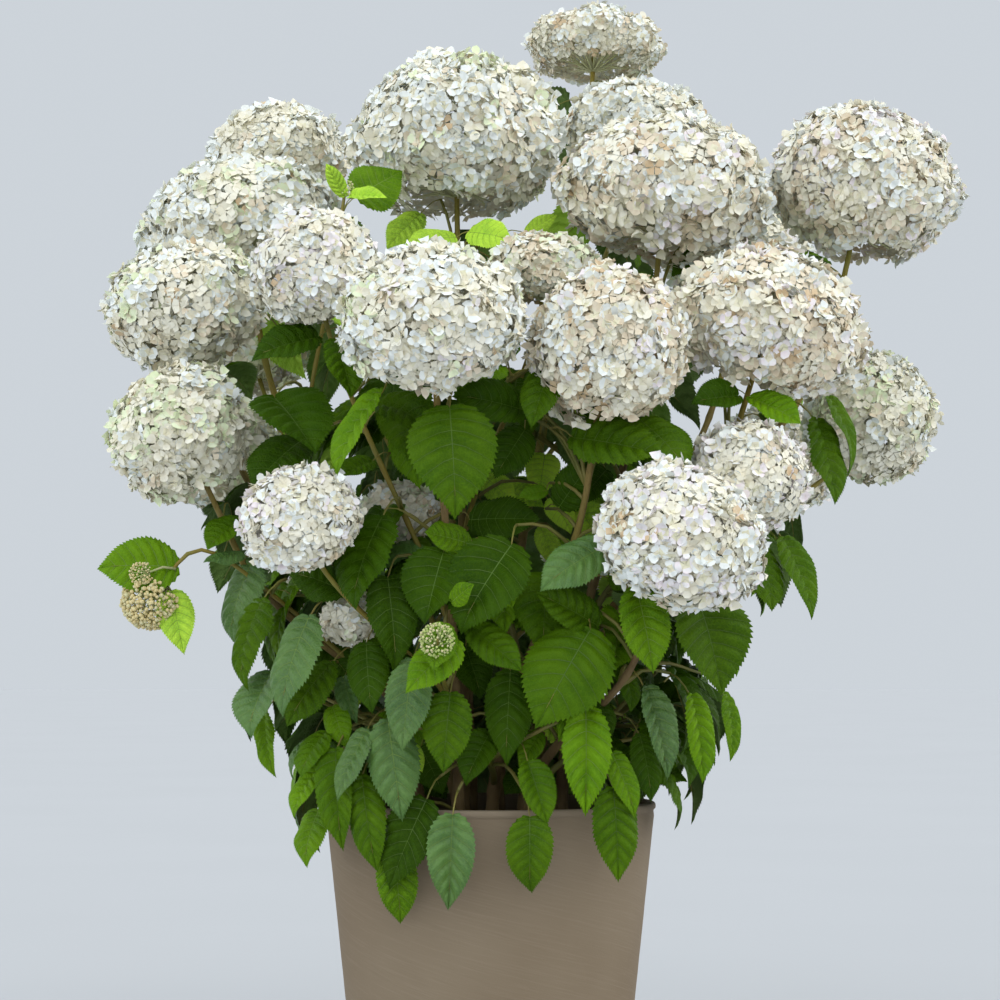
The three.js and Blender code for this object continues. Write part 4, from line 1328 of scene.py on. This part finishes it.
def bent_leaf(leaf, flat, bend):
    """A plan's points on a leaf's own line, folded and curled."""
    x, y, z = flat.T
    at, along, normal = leaf_line(leaf, x)
    twist = bend["twist"] * (x - 0.3)
    side = np.cross(normal, along)
    turned_side = side * np.cos(twist)[:, None] + normal * np.sin(twist)[:, None]
    turned_up = normal * np.cos(twist)[:, None] - side * np.sin(twist)[:, None]
    wide = np.abs(y)
    wave = bend["wave"] * (wide / 0.37) ** 2 * np.sin(x * bend["waves"] + bend["phase"] + np.sign(y))
    rise = z * bend["relief"] + bend["fold"] * wide - bend["curl"] * wide**2 + wave
    rise = rise - bend["tip"] * np.maximum(x - 0.55, 0) ** 2
    length = leaf["length"]
    across = y * (1 - 0.4 * bend["fold"] ** 2) * bend["broad"]
    return at + turned_side * (across * length)[:, None] + turned_up * (rise * length)[:, None]


def leaf_tint(rng, leaf, group):
    """Which green a leaf takes by its place: more often bluer low on the left, a painted reflection of the
    sky; yellower at right and on top, painted sunlight; and lit-through green toward the back and higher up,
    painted light that comes through the leaf.
    """
    x, y, z = leaf["widest"]
    deep = 0.34
    bright = 0.16 + 0.16 * clamp(x / 240) + 0.14 * (group == "bloom")
    blue = 0.30 * clamp((60 - x) / 260) * clamp((900 - z) / 300)
    lit = 0.17 * clamp(y / 120) * clamp((z - 380) / 200)
    pick = rng.random()
    for tint, share in (("y", lit), ("l", blue), ("b", bright), ("d", deep)):
        if pick < share:
            return LEAF_TINTS.index(tint)
        pick -= share
    return LEAF_TINTS.index("m")


def make_leaves(settings):
    """Every leaf from one of five plans, bent to its own line, with its veins as ribbons on it."""
    rng = default_rng(41)
    plans = [LeafPlan(rng, breadth * settings.breadth, shift, settings.tooth / (LEAF_LENGTH * MM))
             for breadth, shift in ((1.0, 0.0), (0.94, 0.04), (1.05, -0.02), (0.96, 0.07), (1.0, 0.02))]
    # The bright, bluish and lit greens are painted sunlight, a painted reflection of the sky and painted
    # light through the leaves; the deep green is partly painted shade.
    materials = [leaf_material("leaf_" + key, getattr(settings, key), shine) for key, shine in (
        ("deep", 0.08), ("middle", 0.09), ("bright", 0.1), ("blue", 0.5), ("lit", 0.06))]
    materials += [plain_wood("vein_pale", (0.20, 0.31, 0.05), (0.15, 0.25, 0.03), 0.5),
                  plain_wood("vein_green", (0.08, 0.16, 0.006), (0.06, 0.13, 0.004), 0.5)]
    piles = {key: Pile() for key in LEAF_TIERS}
    nodes = {key: set() for key in LEAF_TIERS}
    for shoot in plant().shoots:
        for leaf in shoot.leaves:
            key = next(key for key, top in LEAF_TIERS.items() if leaf["widest"][2] < top)
            nodes[key].add(shoot.node)
            plan = plans[int(rng.integers(len(plans)))]
            tint = leaf.get("tint", leaf_tint(rng, leaf, shoot.group))
            bend = dict(broad=leaf.get("breadth", 0.8 + 0.22 * rng.random()), twist=rng.normal() * 0.32,
                        wave=0.014 + 0.024 * rng.random(), waves=8 + 7 * rng.random(), phase=rng.random() * 6,
                        relief=settings.relief * (0.8 + 0.5 * rng.random()), fold=0.2 + 0.38 * rng.random(),
                        curl=0.4 + 1.0 * rng.random(), tip=0.8 * rng.random() - 0.15)
            piles[key].add(bent_leaf(leaf, plan.points, bend), tint, plan.faces)
            vein = PALE_VEIN if tint > LEAF_TINTS.index("m") else GREEN_VEIN
            piles[key].add(bent_leaf(leaf, plan.veins, bend), vein, plan.vein_faces)
    for key, pile in piles.items():
        pile.build("leaves_" + key, materials, "foliage", sorted(nodes[key]))


def spun(x, y, z, turn):
    """A point turned about the Z axis."""
    return x * cos(turn) - y * sin(turn), x * sin(turn) + y * cos(turn), z


# The faces of a petal between rows of one, three, three and two points. The first two are throat,
# whose warm colour is partly the floret's own paler heart and partly painted shade at the foot of the
# petals.
PETAL_FACES = ((0, 2, 3), (0, 1, 2), (1, 4, 5), (1, 5, 2), (2, 5, 6), (2, 6, 3), (4, 7, 5), (5, 7, 8),
               (5, 8, 6))


def floret_plan(rng, petals):
    """A flat-backed floret of width one: points, faces, and which faces are its throat."""
    points, faces, throat = [], [], []
    for k in range(petals):
        turn = 2 * pi * k / petals + 0.1 * rng.normal()
        half = (0.28 if petals == 4 else 0.33 if petals == 3 else 0.22) * (1 + 0.1 * rng.normal())
        reach = 0.5 * (1 + 0.08 * rng.normal())
        lift, cup, wave = 0.03 + 0.11 * rng.normal(), 0.08 + 0.2 * rng.normal(), 0.12 * rng.normal()
        over = 0.014 * (k % 2)
        blunt = 0.3 + 0.25 * rng.random()
        rows = ((0.03, (0,)), (0.42, (-0.84, 0, 0.84)), (0.75, (-1, 0, 1)), (1.0, (-blunt, blunt)))
        first = len(points)
        for x, sides in rows:
            for side in sides:
                z = over + lift * (x * 1.2) ** 2 + cup * abs(side) * x + wave * side * x
                points.append(spun(x * reach, side * half, z, turn))
        faces += [(first + a, first + b, first + c) for a, b, c in PETAL_FACES]
        throat += [True] * 2 + [False] * 7
    first = len(points)
    points += [(0.05 * cos(k * pi / 2), 0.05 * sin(k * pi / 2), 0.0) for k in range(4)] + [(0, 0, 0.075)]
    faces += [(first + k, first + (k + 1) % 4, first + 4) for k in range(4)]
    throat += [True] * 4
    return np.array(points), np.array(faces), np.array(throat)


def scrap_plan(rng):
    """A plain floret of eight faces for the depth of a head."""
    points, faces = [], []
    for k in range(4):
        turn = pi * k / 2 + 0.2 * rng.normal()
        first = len(points)
        for x, y, z in ((0.02, 0, 0), (0.36, -0.24, 0.03), (0.52, 0, 0.06), (0.36, 0.24, 0.03)):
            points.append(spun(x, y, z, turn))
        faces += [(first, first + 1, first + 2), (first, first + 2, first + 3)]
    return np.array(points), np.array(faces)


def spread_on_dome(count, low):
    """Even directions on a dome, from its top down to a height."""
    i = np.arange(count) + 0.5
    z = 1 - (1 - low) * i / count
    across = np.sqrt(1 - z * z)
    turn = i * GOLDEN
    return np.stack([across * np.cos(turn), across * np.sin(turn), z], axis=-1)


def strayed(rng, directions, far):
    """Directions that each stray a little from the given ones."""
    return unit(directions + far * rng.normal(size=directions.shape))


def on_head(head, directions, shrink):
    """Places on a head's surface, the way out of it there, and its frame, for directions in that frame."""
    _, at, wide, tall, _, _ = head
    axis = head_axis(at)
    first = unit(np.cross(axis, (0.3, 1.0, 0.1)))
    basis = np.stack([first, np.cross(axis, first), axis])
    x, y, z = directions.T
    across = np.hypot(x, y)
    height = np.where(z > 0, z * tall, tall * (UNDERSIDE * z + DIMPLE * np.maximum(0, 1 - 3.2 * across)))
    local = np.stack([x * wide, y * wide, height], axis=-1) * shrink[:, None]
    out = unit(np.stack([x / wide, y / wide, np.maximum(z, -0.62) / tall], axis=-1))
    return at + local @ basis, out @ basis, basis


def axes_facing(rng, out, tilt):
    """Three axes for each form, the third close to a given direction and the turn left to chance."""
    up = strayed(rng, out, tilt)
    first = unit(np.cross(up, unit(rng.normal(size=out.shape))))
    return np.stack([first, np.cross(up, first), up], axis=1)


# The area a floret covers as a share of its width squared, and how many clusters a head has for
# each millimetre of its half-width.
FLORET_AREA = 0.62
CLUSTER_RATE = 0.3

# How a head is made, and how the loose one on top: how far down its florets reach, their size and
# number, how much clusters differ in height and bulge, how far in all florets stand, and the share
# and the place of the layer under them.
HEAD = dict(low=-0.985, size=1, number=1, level=0.026, bulge=1, sunk=0, under=0.7, depth=0.93)
LOOSE_HEAD = dict(low=-0.88, size=0.8, number=0.8, level=0.055, bulge=2, sunk=0.07, under=0.6, depth=0.89)


def dealt_tints(rng, tints, home, clusters, directions, deep):
    """A tint for each floret: its cluster's or its own, with cream ones in the depth, painted warm light that
    passes through the petals, and tan and cream ones low down, partly real fading and partly painted warm
    light on the underside.
    """
    count = len(directions)
    palette = np.array([TINTS.index(t) for t in tints])
    of_cluster = palette[rng.integers(len(palette), size=clusters)]
    as_cluster = rng.random(count) < 0.3
    tint = np.where(as_cluster, of_cluster[home], palette[rng.integers(len(palette), size=count)])
    # Half the deeper florets turn cream: painted warm light that passes through the petals.
    tint = np.where(deep & (rng.random(count) < 0.5), CREAM, tint)
    # Low down florets turn tan or cream: partly fading and partly painted warm light on the underside.
    fading = rng.random(count) < 0.55 * np.clip(0.1 - directions[:, 2], 0, 1)
    tint = np.where(fading, np.where(rng.random(count) < 0.3, TAN, CREAM), tint)
    return np.where(rng.random(count) < 0.005, BROWN, tint)


def make_head(head, index, settings, plans, scraps, florets, rays):
    """One flower head: clusters of florets on a lumpy dome, a layer under them, and its rays."""
    rng = default_rng(500 + index)
    name, _, wide, tall, _, tints = head
    form = LOOSE_HEAD if name == "crest" else HEAD
    low = form["low"]
    size = settings.floret_width / MM * mix(0.82, 1.06, clamp((wide - 50) / 80)) * form["size"]
    area = 2 * pi * wide * 0.5 * (wide + tall) * (1 - low)
    count = int(settings.coverage * area / (FLORET_AREA * size * size) * form["number"])
    clusters = strayed(rng, spread_on_dome(max(9, int(wide * CLUSTER_RATE)), low), 0.1)
    directions = strayed(rng, spread_on_dome(count, low), 0.6 / sqrt(count))
    near = directions @ clusters.T
    home = np.argmax(near, axis=1)
    radius = sqrt(2 * (1 - low) / len(clusters))
    off = np.sqrt(np.maximum(0, 2 - 2 * near[np.arange(count), home])) / radius
    # Each cluster ends at a height of its own, and the underside has fewer florets.
    edge = low + 0.3 * rng.random(len(clusters)) ** 2
    sparse = np.where(directions[:, 2] < -0.5, 0.72, 1.0)
    stays = (directions[:, 2] > edge[home]) & (rng.random(count) < sparse)
    directions, home, off = directions[stays], home[stays], off[stays]
    count = len(directions)

    # Clusters bulge in the middle and differ in height, and one floret in five lies deeper.
    level = form["level"] * rng.normal(size=len(clusters))
    deep = rng.random(count) < 0.2
    shrink = 0.985 + settings.lump * form["bulge"] * (0.55 - off**2) + level[home] - 0.05 * deep
    shrink += 0.012 * rng.normal(size=count) - 3 / wide - form["sunk"]
    places, out, basis = on_head(head, directions, shrink)
    # Florets face outwards, and away from the middle of their cluster.
    lean = (directions - clusters[home]) @ basis
    axes = axes_facing(rng, unit(out + 0.65 * lean / max(radius, 0.2)), 0.22)
    tint = dealt_tints(rng, tints, home, len(clusters), directions, deep)
    sizes = size * (0.82 + 0.3 * rng.random(count))
    kinds = rng.integers(len(plans), size=count)
    for k, (points, faces, throat) in enumerate(plans):
        mine = kinds == k
        colours = np.where(throat[None], THROAT, tint[mine][:, None])
        copies(florets, points, faces, colours, places[mine], axes[mine], sizes[mine])

    add_under_layer(rng, head, form, size, int(count * form["under"]), scraps[index % len(scraps)], florets)
    # A ray runs from the stalk to the inside of each cluster.
    foot = head_foot(head) - basis[2] * 12
    for end in on_head(head, clusters, np.full(len(clusters), 0.84))[0]:
        bend = mix(foot, end, 0.45) + basis[2] * 0.06 * wide * (0.4 + rng.random())
        line = [foot, mix(foot, bend, 0.55), bend, mix(bend, end, 0.55), end]
        tube(rays, line, (1.6, 1.35, 1.1, 0.95, 0.8), 4)


def add_under_layer(rng, head, form, size, count, scrap, florets):
    """Plain florets that close the gaps between the outer ones, browner where a head is fading. Their cream,
    tan and brown are painted light and shade in the gaps: the warm light that passes through the petals, and
    the shade between them.
    """
    directions = strayed(rng, spread_on_dome(count, max(form["low"], -0.8)), 0.05)
    shrink = np.full(count, form["depth"]) + 0.012 * rng.normal(size=count)
    places, out, _ = on_head(head, directions, shrink)
    points, faces = scrap
    tans = head[5].count("t")
    # Cream, tan and brown paint the warm, shaded gaps; more tan and brown where the head has tan tints.
    shares = (0.02 + 0.07 * tans, 0.1 + 0.18 * tans, 0.88 - 0.25 * tans)
    kinds = np.repeat(rng.choice((BROWN, TAN, CREAM), count, p=shares), len(faces))
    axes = axes_facing(rng, out, 0.14)
    copies(florets, points, faces, kinds, places, axes, size * (0.95 + 0.2 * rng.random(count)))


def make_blossom(settings):
    """Florets of all heads from front to back, in pieces of a limited size, and the rays under them."""
    rng = default_rng(51)
    plans = [floret_plan(rng, petals) for petals in (4, 4, 4, 4, 4, 4, 4, 3, 5, 4)]
    scraps = [scrap_plan(rng) for _ in range(4)]
    white, cream, green, tan = settings.white, settings.cream, settings.green, settings.tan
    materials = [petal_material(name, light, blotch) for name, light, blotch in (
        ("petal_white", white, shaded(white, (0.95, 0.96, 0.95))),
        ("petal_cream", cream, shaded(cream, (0.94, 0.91, 0.84))),
        ("petal_pink", settings.pink, white),
        ("petal_green", green, shaded(green, (0.93, 0.97, 0.82))),
        ("petal_tan", tan, shaded(tan, (0.86, 0.8, 0.72))),
        # The throat's warm colour is partly the floret's own heart and partly painted shade at the foot of
        # the petals.
        ("throat", (0.80, 0.78, 0.56), (0.84, 0.78, 0.62)),
        ("petal_brown", (0.60, 0.44, 0.26), (0.70, 0.56, 0.38)),
    )]
    rays = Pile()
    piles, nodes = [Pile()], [[]]
    for index in sorted(range(len(HEADS)), key=lambda i: HEADS[i][1][1]):
        if sum(len(f) for f in piles[-1].faces) > FACES_IN_A_PIECE:
            piles.append(Pile())
            nodes.append([])
        make_head(HEADS[index], index, settings, plans, scraps, piles[-1], rays)
        nodes[-1].append("bloom_" + HEADS[index][0])
    for k, (pile, replaced) in enumerate(zip(piles, nodes)):
        pile.build("florets_%d" % (k + 1), materials, "blossom", replaced)
    ray_green = plain_wood("ray_green", (0.5, 0.52, 0.26), (0.62, 0.6, 0.4))
    rays.build("flower_rays", [ray_green], "blossom", ["bloom_" + head[0] for head in HEADS])


def make_buds(settings):
    """Round heads of unopened buds on the young shoots, and a small one beside the left head."""
    rng = default_rng(61)
    pile = Pile()
    forms = [lump_form(rng, 0.08) for _ in range(3)]
    small = ("beside", None, (-372, -158, 682), (-410, -180, 676), 14)
    green, cream, stalk, gold = range(4)
    for entry in (*BUD_SHOOTS, small):
        name, _, bend, middle, wide = entry
        bend, middle = np.array((bend, middle), dtype=float)
        away = unit(middle - bend)
        first = unit(np.cross(away, (0.2, 0.3, 1.0)))
        basis = np.stack([first, np.cross(away, first), away])
        count = int(clamp(wide * wide * 0.5, 60, 600))
        ways = strayed(rng, spread_on_dome(count, -0.7), 0.05) @ basis
        reach = wide * (0.86 + 0.12 * rng.random(count))
        at = middle + ways * reach[:, None]
        size = clamp(wide * 0.068, 1.3, 2.4) * (0.7 + 0.6 * rng.random(count))
        pick = rng.integers(3, size=count)
        tint = np.where(rng.random(count) < 0.4, cream, gold if name in ("left", "beside") else green)
        for k, (points, faces) in enumerate(forms):
            mine = pick == k
            axes = axes_facing(rng, ways[mine], 0.15)
            kinds = np.repeat(tint[mine], len(faces))
            copies(pile, points * (1, 1, 1.15), faces, kinds, at[mine], axes, size[mine])
        foot = middle - away * wide * 0.75
        for way in spread_on_dome(max(8, count // 12), -0.6) @ basis:
            end = middle + way * wide * 0.84
            tube(pile, [foot, mix(foot, end, 0.5) + way * wide * 0.08, end], (1.0, 0.75, 0.5), 4, stalk)
        if entry is small:
            tube(pile, [bend, mix(bend, foot, 0.5) + UP * 4, foot], (1.8, 1.5, 1.3), 6, stalk)
    materials = [
        petal_material("bud_green", settings.bud, shaded(settings.bud, (0.8, 0.9, 0.7))),
        petal_material("bud_cream", (0.75, 0.69, 0.42), (0.66, 0.62, 0.34)),
        plain_wood("bud_stalk", (0.4, 0.5, 0.18), (0.5, 0.5, 0.25)),
        petal_material("bud_gold", (0.80, 0.68, 0.36), (0.72, 0.60, 0.30)),
    ]
    pile.build("bud_heads", materials, "foliage", ["bud_shoot_" + entry[0] for entry in BUD_SHOOTS])


def add_light(name, at, spread, strength, colour):
    """A soft light from far away, wide enough for shadows without an edge."""
    light = bpy.data.lights.new(name, "SUN")
    light.angle = radians(spread)
    light.energy = strength
    light.color = colour
    made = add_object(name, light)
    made.location = at
    made.rotation_euler = (-Vector(at)).to_track_quat("-Z", "Y").to_euler()


def make_stage(settings):
    """The floor, the photo's camera, the light all round and four soft lights."""
    pile = Pile()
    turned(pile, [(60000, -0.5), (3000, -0.5), (0.5, -0.5)], sides=64)
    material, tree, surface = new_material("floor_plaster", roughness=0.9, shine=0.0)
    darkened = shaded(settings.floor, (0.985, 0.985, 0.985))
    colour, _ = mottled(tree, settings.floor, darkened, patches=1, grain=9, shade=0)
    tree.links.new(colour, surface["Base Color"])
    pile.form("floor", [material])

    camera = bpy.data.cameras.new("camera")
    camera.sensor_width = 36
    camera.lens = camera.sensor_width * FOCAL / PICTURE
    made = add_object("camera", camera)
    made.location = [value * MM for value in CAMERA]
    made.rotation_euler = Euler((pi / 2 + atan(HORIZON / FOCAL), 0, 0))
    bpy.context.scene.camera = made

    world = bpy.data.worlds.new("studio")
    world.use_nodes = True
    background = world.node_tree.nodes["Background"].inputs
    background["Color"].default_value = (*settings.surround, 1)
    background["Strength"].default_value = settings.surround_strength
    bpy.context.scene.world = world
    add_light("key", (2.2, -0.9, 3.3), 60, settings.key, (1.0, 0.97, 0.90))
    add_light("front", (-1.6, -4.2, 1.2), 100, settings.front, (0.95, 0.98, 1.0))
    add_light("right", (3.4, 0.6, 0.8), 90, settings.side, (1.0, 0.98, 0.95))
    add_light("left", (-3.4, 0.6, 0.8), 90, settings.side, (0.96, 0.98, 1.0))
    bpy.context.scene.view_settings.view_transform = "Standard"


# The add-on


def length_setting(name, description, default):
    return FloatProperty(name=name, description=description, unit="LENGTH", default=default)


def number_setting(name, description, default, low=0.0, high=10.0):
    return FloatProperty(name=name, description=description, default=default, min=low, max=high)


def colour_setting(name, description, default):
    return FloatVectorProperty(name=name, description=description, subtype="COLOR", default=default, min=0.0,
                               max=1.0)


pot_low, pot_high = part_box("planter")


class PlanterSettings(PropertyGroup):
    height: length_setting("Height", "Height of the planter", pot_high[2] - pot_low[2])
    rim_radius: length_setting("Rim radius", "Outer radius of the rim", (pot_high[0] - pot_low[0]) / 2)
    foot_radius: length_setting("Foot radius", "Outer radius at the foot", FOOT_RADIUS * MM)
    wall: length_setting("Wall", "Thickness of the wall", 0.013)
    clay: colour_setting("Clay", "Colour of the fired clay", (0.25, 0.194, 0.131))


class WoodSettings(PropertyGroup):
    low: colour_setting("Old bark", "Colour of the canes near the soil", (0.24, 0.16, 0.06))
    high: colour_setting("Young stalk", "Colour of the green stalks", (0.20, 0.18, 0.025))
    twig: colour_setting("Twig", "Colour of the leafy twigs", (0.22, 0.19, 0.04))
    leaf_stalk: colour_setting("Leaf stalk", "Colour of the leaf stalks", (0.27, 0.22, 0.05))


class FoliageSettings(PropertyGroup):
    breadth: number_setting("Breadth", "Width of a leaf as a share of its length", 0.74, 0.3, 1.2)
    tooth: length_setting("Tooth", "Depth of the teeth on a leaf's edge", 0.0040)
    relief: number_setting("Relief", "Height of the swelling between veins", 1.75)
    fill: number_setting("Fill", "How closely the finer leaves stand", 1.0, 0.2, 3.0)
    # Deep is partly the leaves' own darker green and partly painted shade for leaves inside the shrub; bright
    # is painted sunlight, the bluish green a painted reflection of the sky, and lit painted light that comes
    # through a leaf.
    deep: colour_setting("Deep green", "Leaves in the depth of the shrub", (0.040, 0.094, 0.001))
    middle: colour_setting("Middle green", "Most of the leaves", (0.075, 0.160, 0.002))
    bright: colour_setting("Bright green", "Leaves that stand in the light", (0.135, 0.275, 0.004))
    blue: colour_setting("Blue green", "Low leaves at the left", (0.097, 0.205, 0.035))
    lit: colour_setting("Lit green", "Leaves the light comes through", (0.52, 0.80, 0.07))
    soil: colour_setting("Soil", "Colour of the potting soil", (0.06, 0.038, 0.022))
    bud: colour_setting("Bud", "Colour of the unopened buds", (0.55, 0.62, 0.24))


class BlossomSettings(PropertyGroup):
    floret_width: length_setting("Floret width", "Width of one floret", 0.0212)
    coverage: number_setting("Coverage", "Area of the florets over the area of a head", 1.36, 0.2, 3.0)
    lump: number_setting("Lump", "How far each cluster bulges", 0.06, 0.0, 0.3)
    white: colour_setting("White", "Most petals", (0.895, 0.925, 0.905))
    cream: colour_setting("Cream", "Warmer petals", (0.90, 0.88, 0.765))
    pink: colour_setting("Pink", "Blushing petals", (0.89, 0.80, 0.83))
    green: colour_setting("Pale green", "Young petals", (0.83, 0.88, 0.67))
    tan: colour_setting("Tan", "Fading petals", (0.84, 0.76, 0.61))


class StageSettings(PropertyGroup):
    floor: colour_setting("Floor", "Colour of the studio floor", (0.505, 0.524, 0.548))
    surround: colour_setting("Surround", "Colour of the light all round", (0.80, 0.86, 0.92))
    surround_strength: number_setting("Surround strength", "Strength of the light all round", 0.76)
    key: number_setting("Key", "Strength of the light from above", 1.02)
    front: number_setting("Front", "Strength of the soft front light", 1.42)
    side: number_setting("Side", "Strength of each soft side light", 1.0)


class HydrangeaSettings(PropertyGroup):
    planter: PointerProperty(type=PlanterSettings)
    wood: PointerProperty(type=WoodSettings)
    foliage: PointerProperty(type=FoliageSettings)
    blossom: PointerProperty(type=BlossomSettings)
    stage: PointerProperty(type=StageSettings)


class HYDRANGEA_OT_planter(Operator):
    """Turns the clay planter with its rounded rim"""

    bl_idname = "hydrangea.planter"
    bl_label = "Planter"

    def execute(self, context):
        make_planter(context.scene.hydrangea.planter)
        return {"FINISHED"}


class HYDRANGEA_OT_soil(Operator):
    """Fills the planter with crumbly potting soil"""

    bl_idname = "hydrangea.soil"
    bl_label = "Soil"

    def execute(self, context):
        make_soil(context.scene.hydrangea.planter, context.scene.hydrangea.foliage)
        return {"FINISHED"}


class HYDRANGEA_OT_canes(Operator):
    """Raises the canes from the soil to their flower heads"""

    bl_idname = "hydrangea.canes"
    bl_label = "Canes"

    def execute(self, context):
        make_canes(context.scene.hydrangea.wood)
        return {"FINISHED"}


class HYDRANGEA_OT_twigs(Operator):
    """Grows stalks, stems, twigs and leaf stalks from the canes"""

    bl_idname = "hydrangea.twigs"
    bl_label = "Twigs"

    def execute(self, context):
        make_twigs(context.scene.hydrangea.wood)
        return {"FINISHED"}


class HYDRANGEA_OT_leaves(Operator):
    """Hangs toothed and veined leaves on the twigs"""

    bl_idname = "hydrangea.leaves"
    bl_label = "Leaves"

    def execute(self, context):
        make_leaves(context.scene.hydrangea.foliage)
        return {"FINISHED"}


class HYDRANGEA_OT_blossom(Operator):
    """Covers every flower head with florets"""

    bl_idname = "hydrangea.blossom"
    bl_label = "Blossom"

    def execute(self, context):
        make_blossom(context.scene.hydrangea.blossom)
        return {"FINISHED"}


class HYDRANGEA_OT_buds(Operator):
    """Adds the young heads that are still in bud"""

    bl_idname = "hydrangea.buds"
    bl_label = "Buds"

    def execute(self, context):
        make_buds(context.scene.hydrangea.foliage)
        return {"FINISHED"}


class HYDRANGEA_OT_stage(Operator):
    """Lays the floor, sets the lights and places the camera"""

    bl_idname = "hydrangea.stage"
    bl_label = "Stage"

    def execute(self, context):
        make_stage(context.scene.hydrangea.stage)
        return {"FINISHED"}


OPERATORS = (HYDRANGEA_OT_planter, HYDRANGEA_OT_soil, HYDRANGEA_OT_canes, HYDRANGEA_OT_twigs,
             HYDRANGEA_OT_leaves, HYDRANGEA_OT_blossom, HYDRANGEA_OT_buds, HYDRANGEA_OT_stage)


class HYDRANGEA_PT_panel(Panel):
    """Lists the pieces and their settings"""

    bl_label = "Hydrangea"
    bl_idname = "HYDRANGEA_PT_panel"
    bl_space_type = "VIEW_3D"
    bl_region_type = "UI"
    bl_category = "Hydrangea"

    def draw(self, context):
        settings = context.scene.hydrangea
        for operator in OPERATORS:
            self.layout.operator(operator.bl_idname)
        for part in ("planter", "wood", "foliage", "blossom", "stage"):
            box = self.layout.box()
            box.label(text=part.capitalize())
            group = getattr(settings, part)
            for key in group.bl_rna.properties.keys():
                if key not in ("rna_type", "name"):
                    box.prop(group, key)


CLASSES = (PlanterSettings, WoodSettings, FoliageSettings, BlossomSettings, StageSettings, HydrangeaSettings,
           *OPERATORS, HYDRANGEA_PT_panel)


def register():
    for each in CLASSES:
        bpy.utils.register_class(each)
    bpy.types.Scene.hydrangea = PointerProperty(type=HydrangeaSettings)


def unregister():
    del bpy.types.Scene.hydrangea
    for each in reversed(CLASSES):
        bpy.utils.unregister_class(each)


def main():
    register()
    bpy.ops.hydrangea.planter()
    bpy.ops.hydrangea.soil()
    bpy.ops.hydrangea.canes()
    bpy.ops.hydrangea.twigs()
    bpy.ops.hydrangea.leaves()
    bpy.ops.hydrangea.blossom()
    bpy.ops.hydrangea.buds()
    bpy.ops.hydrangea.stage()


if __name__ == "__main__":
    main()
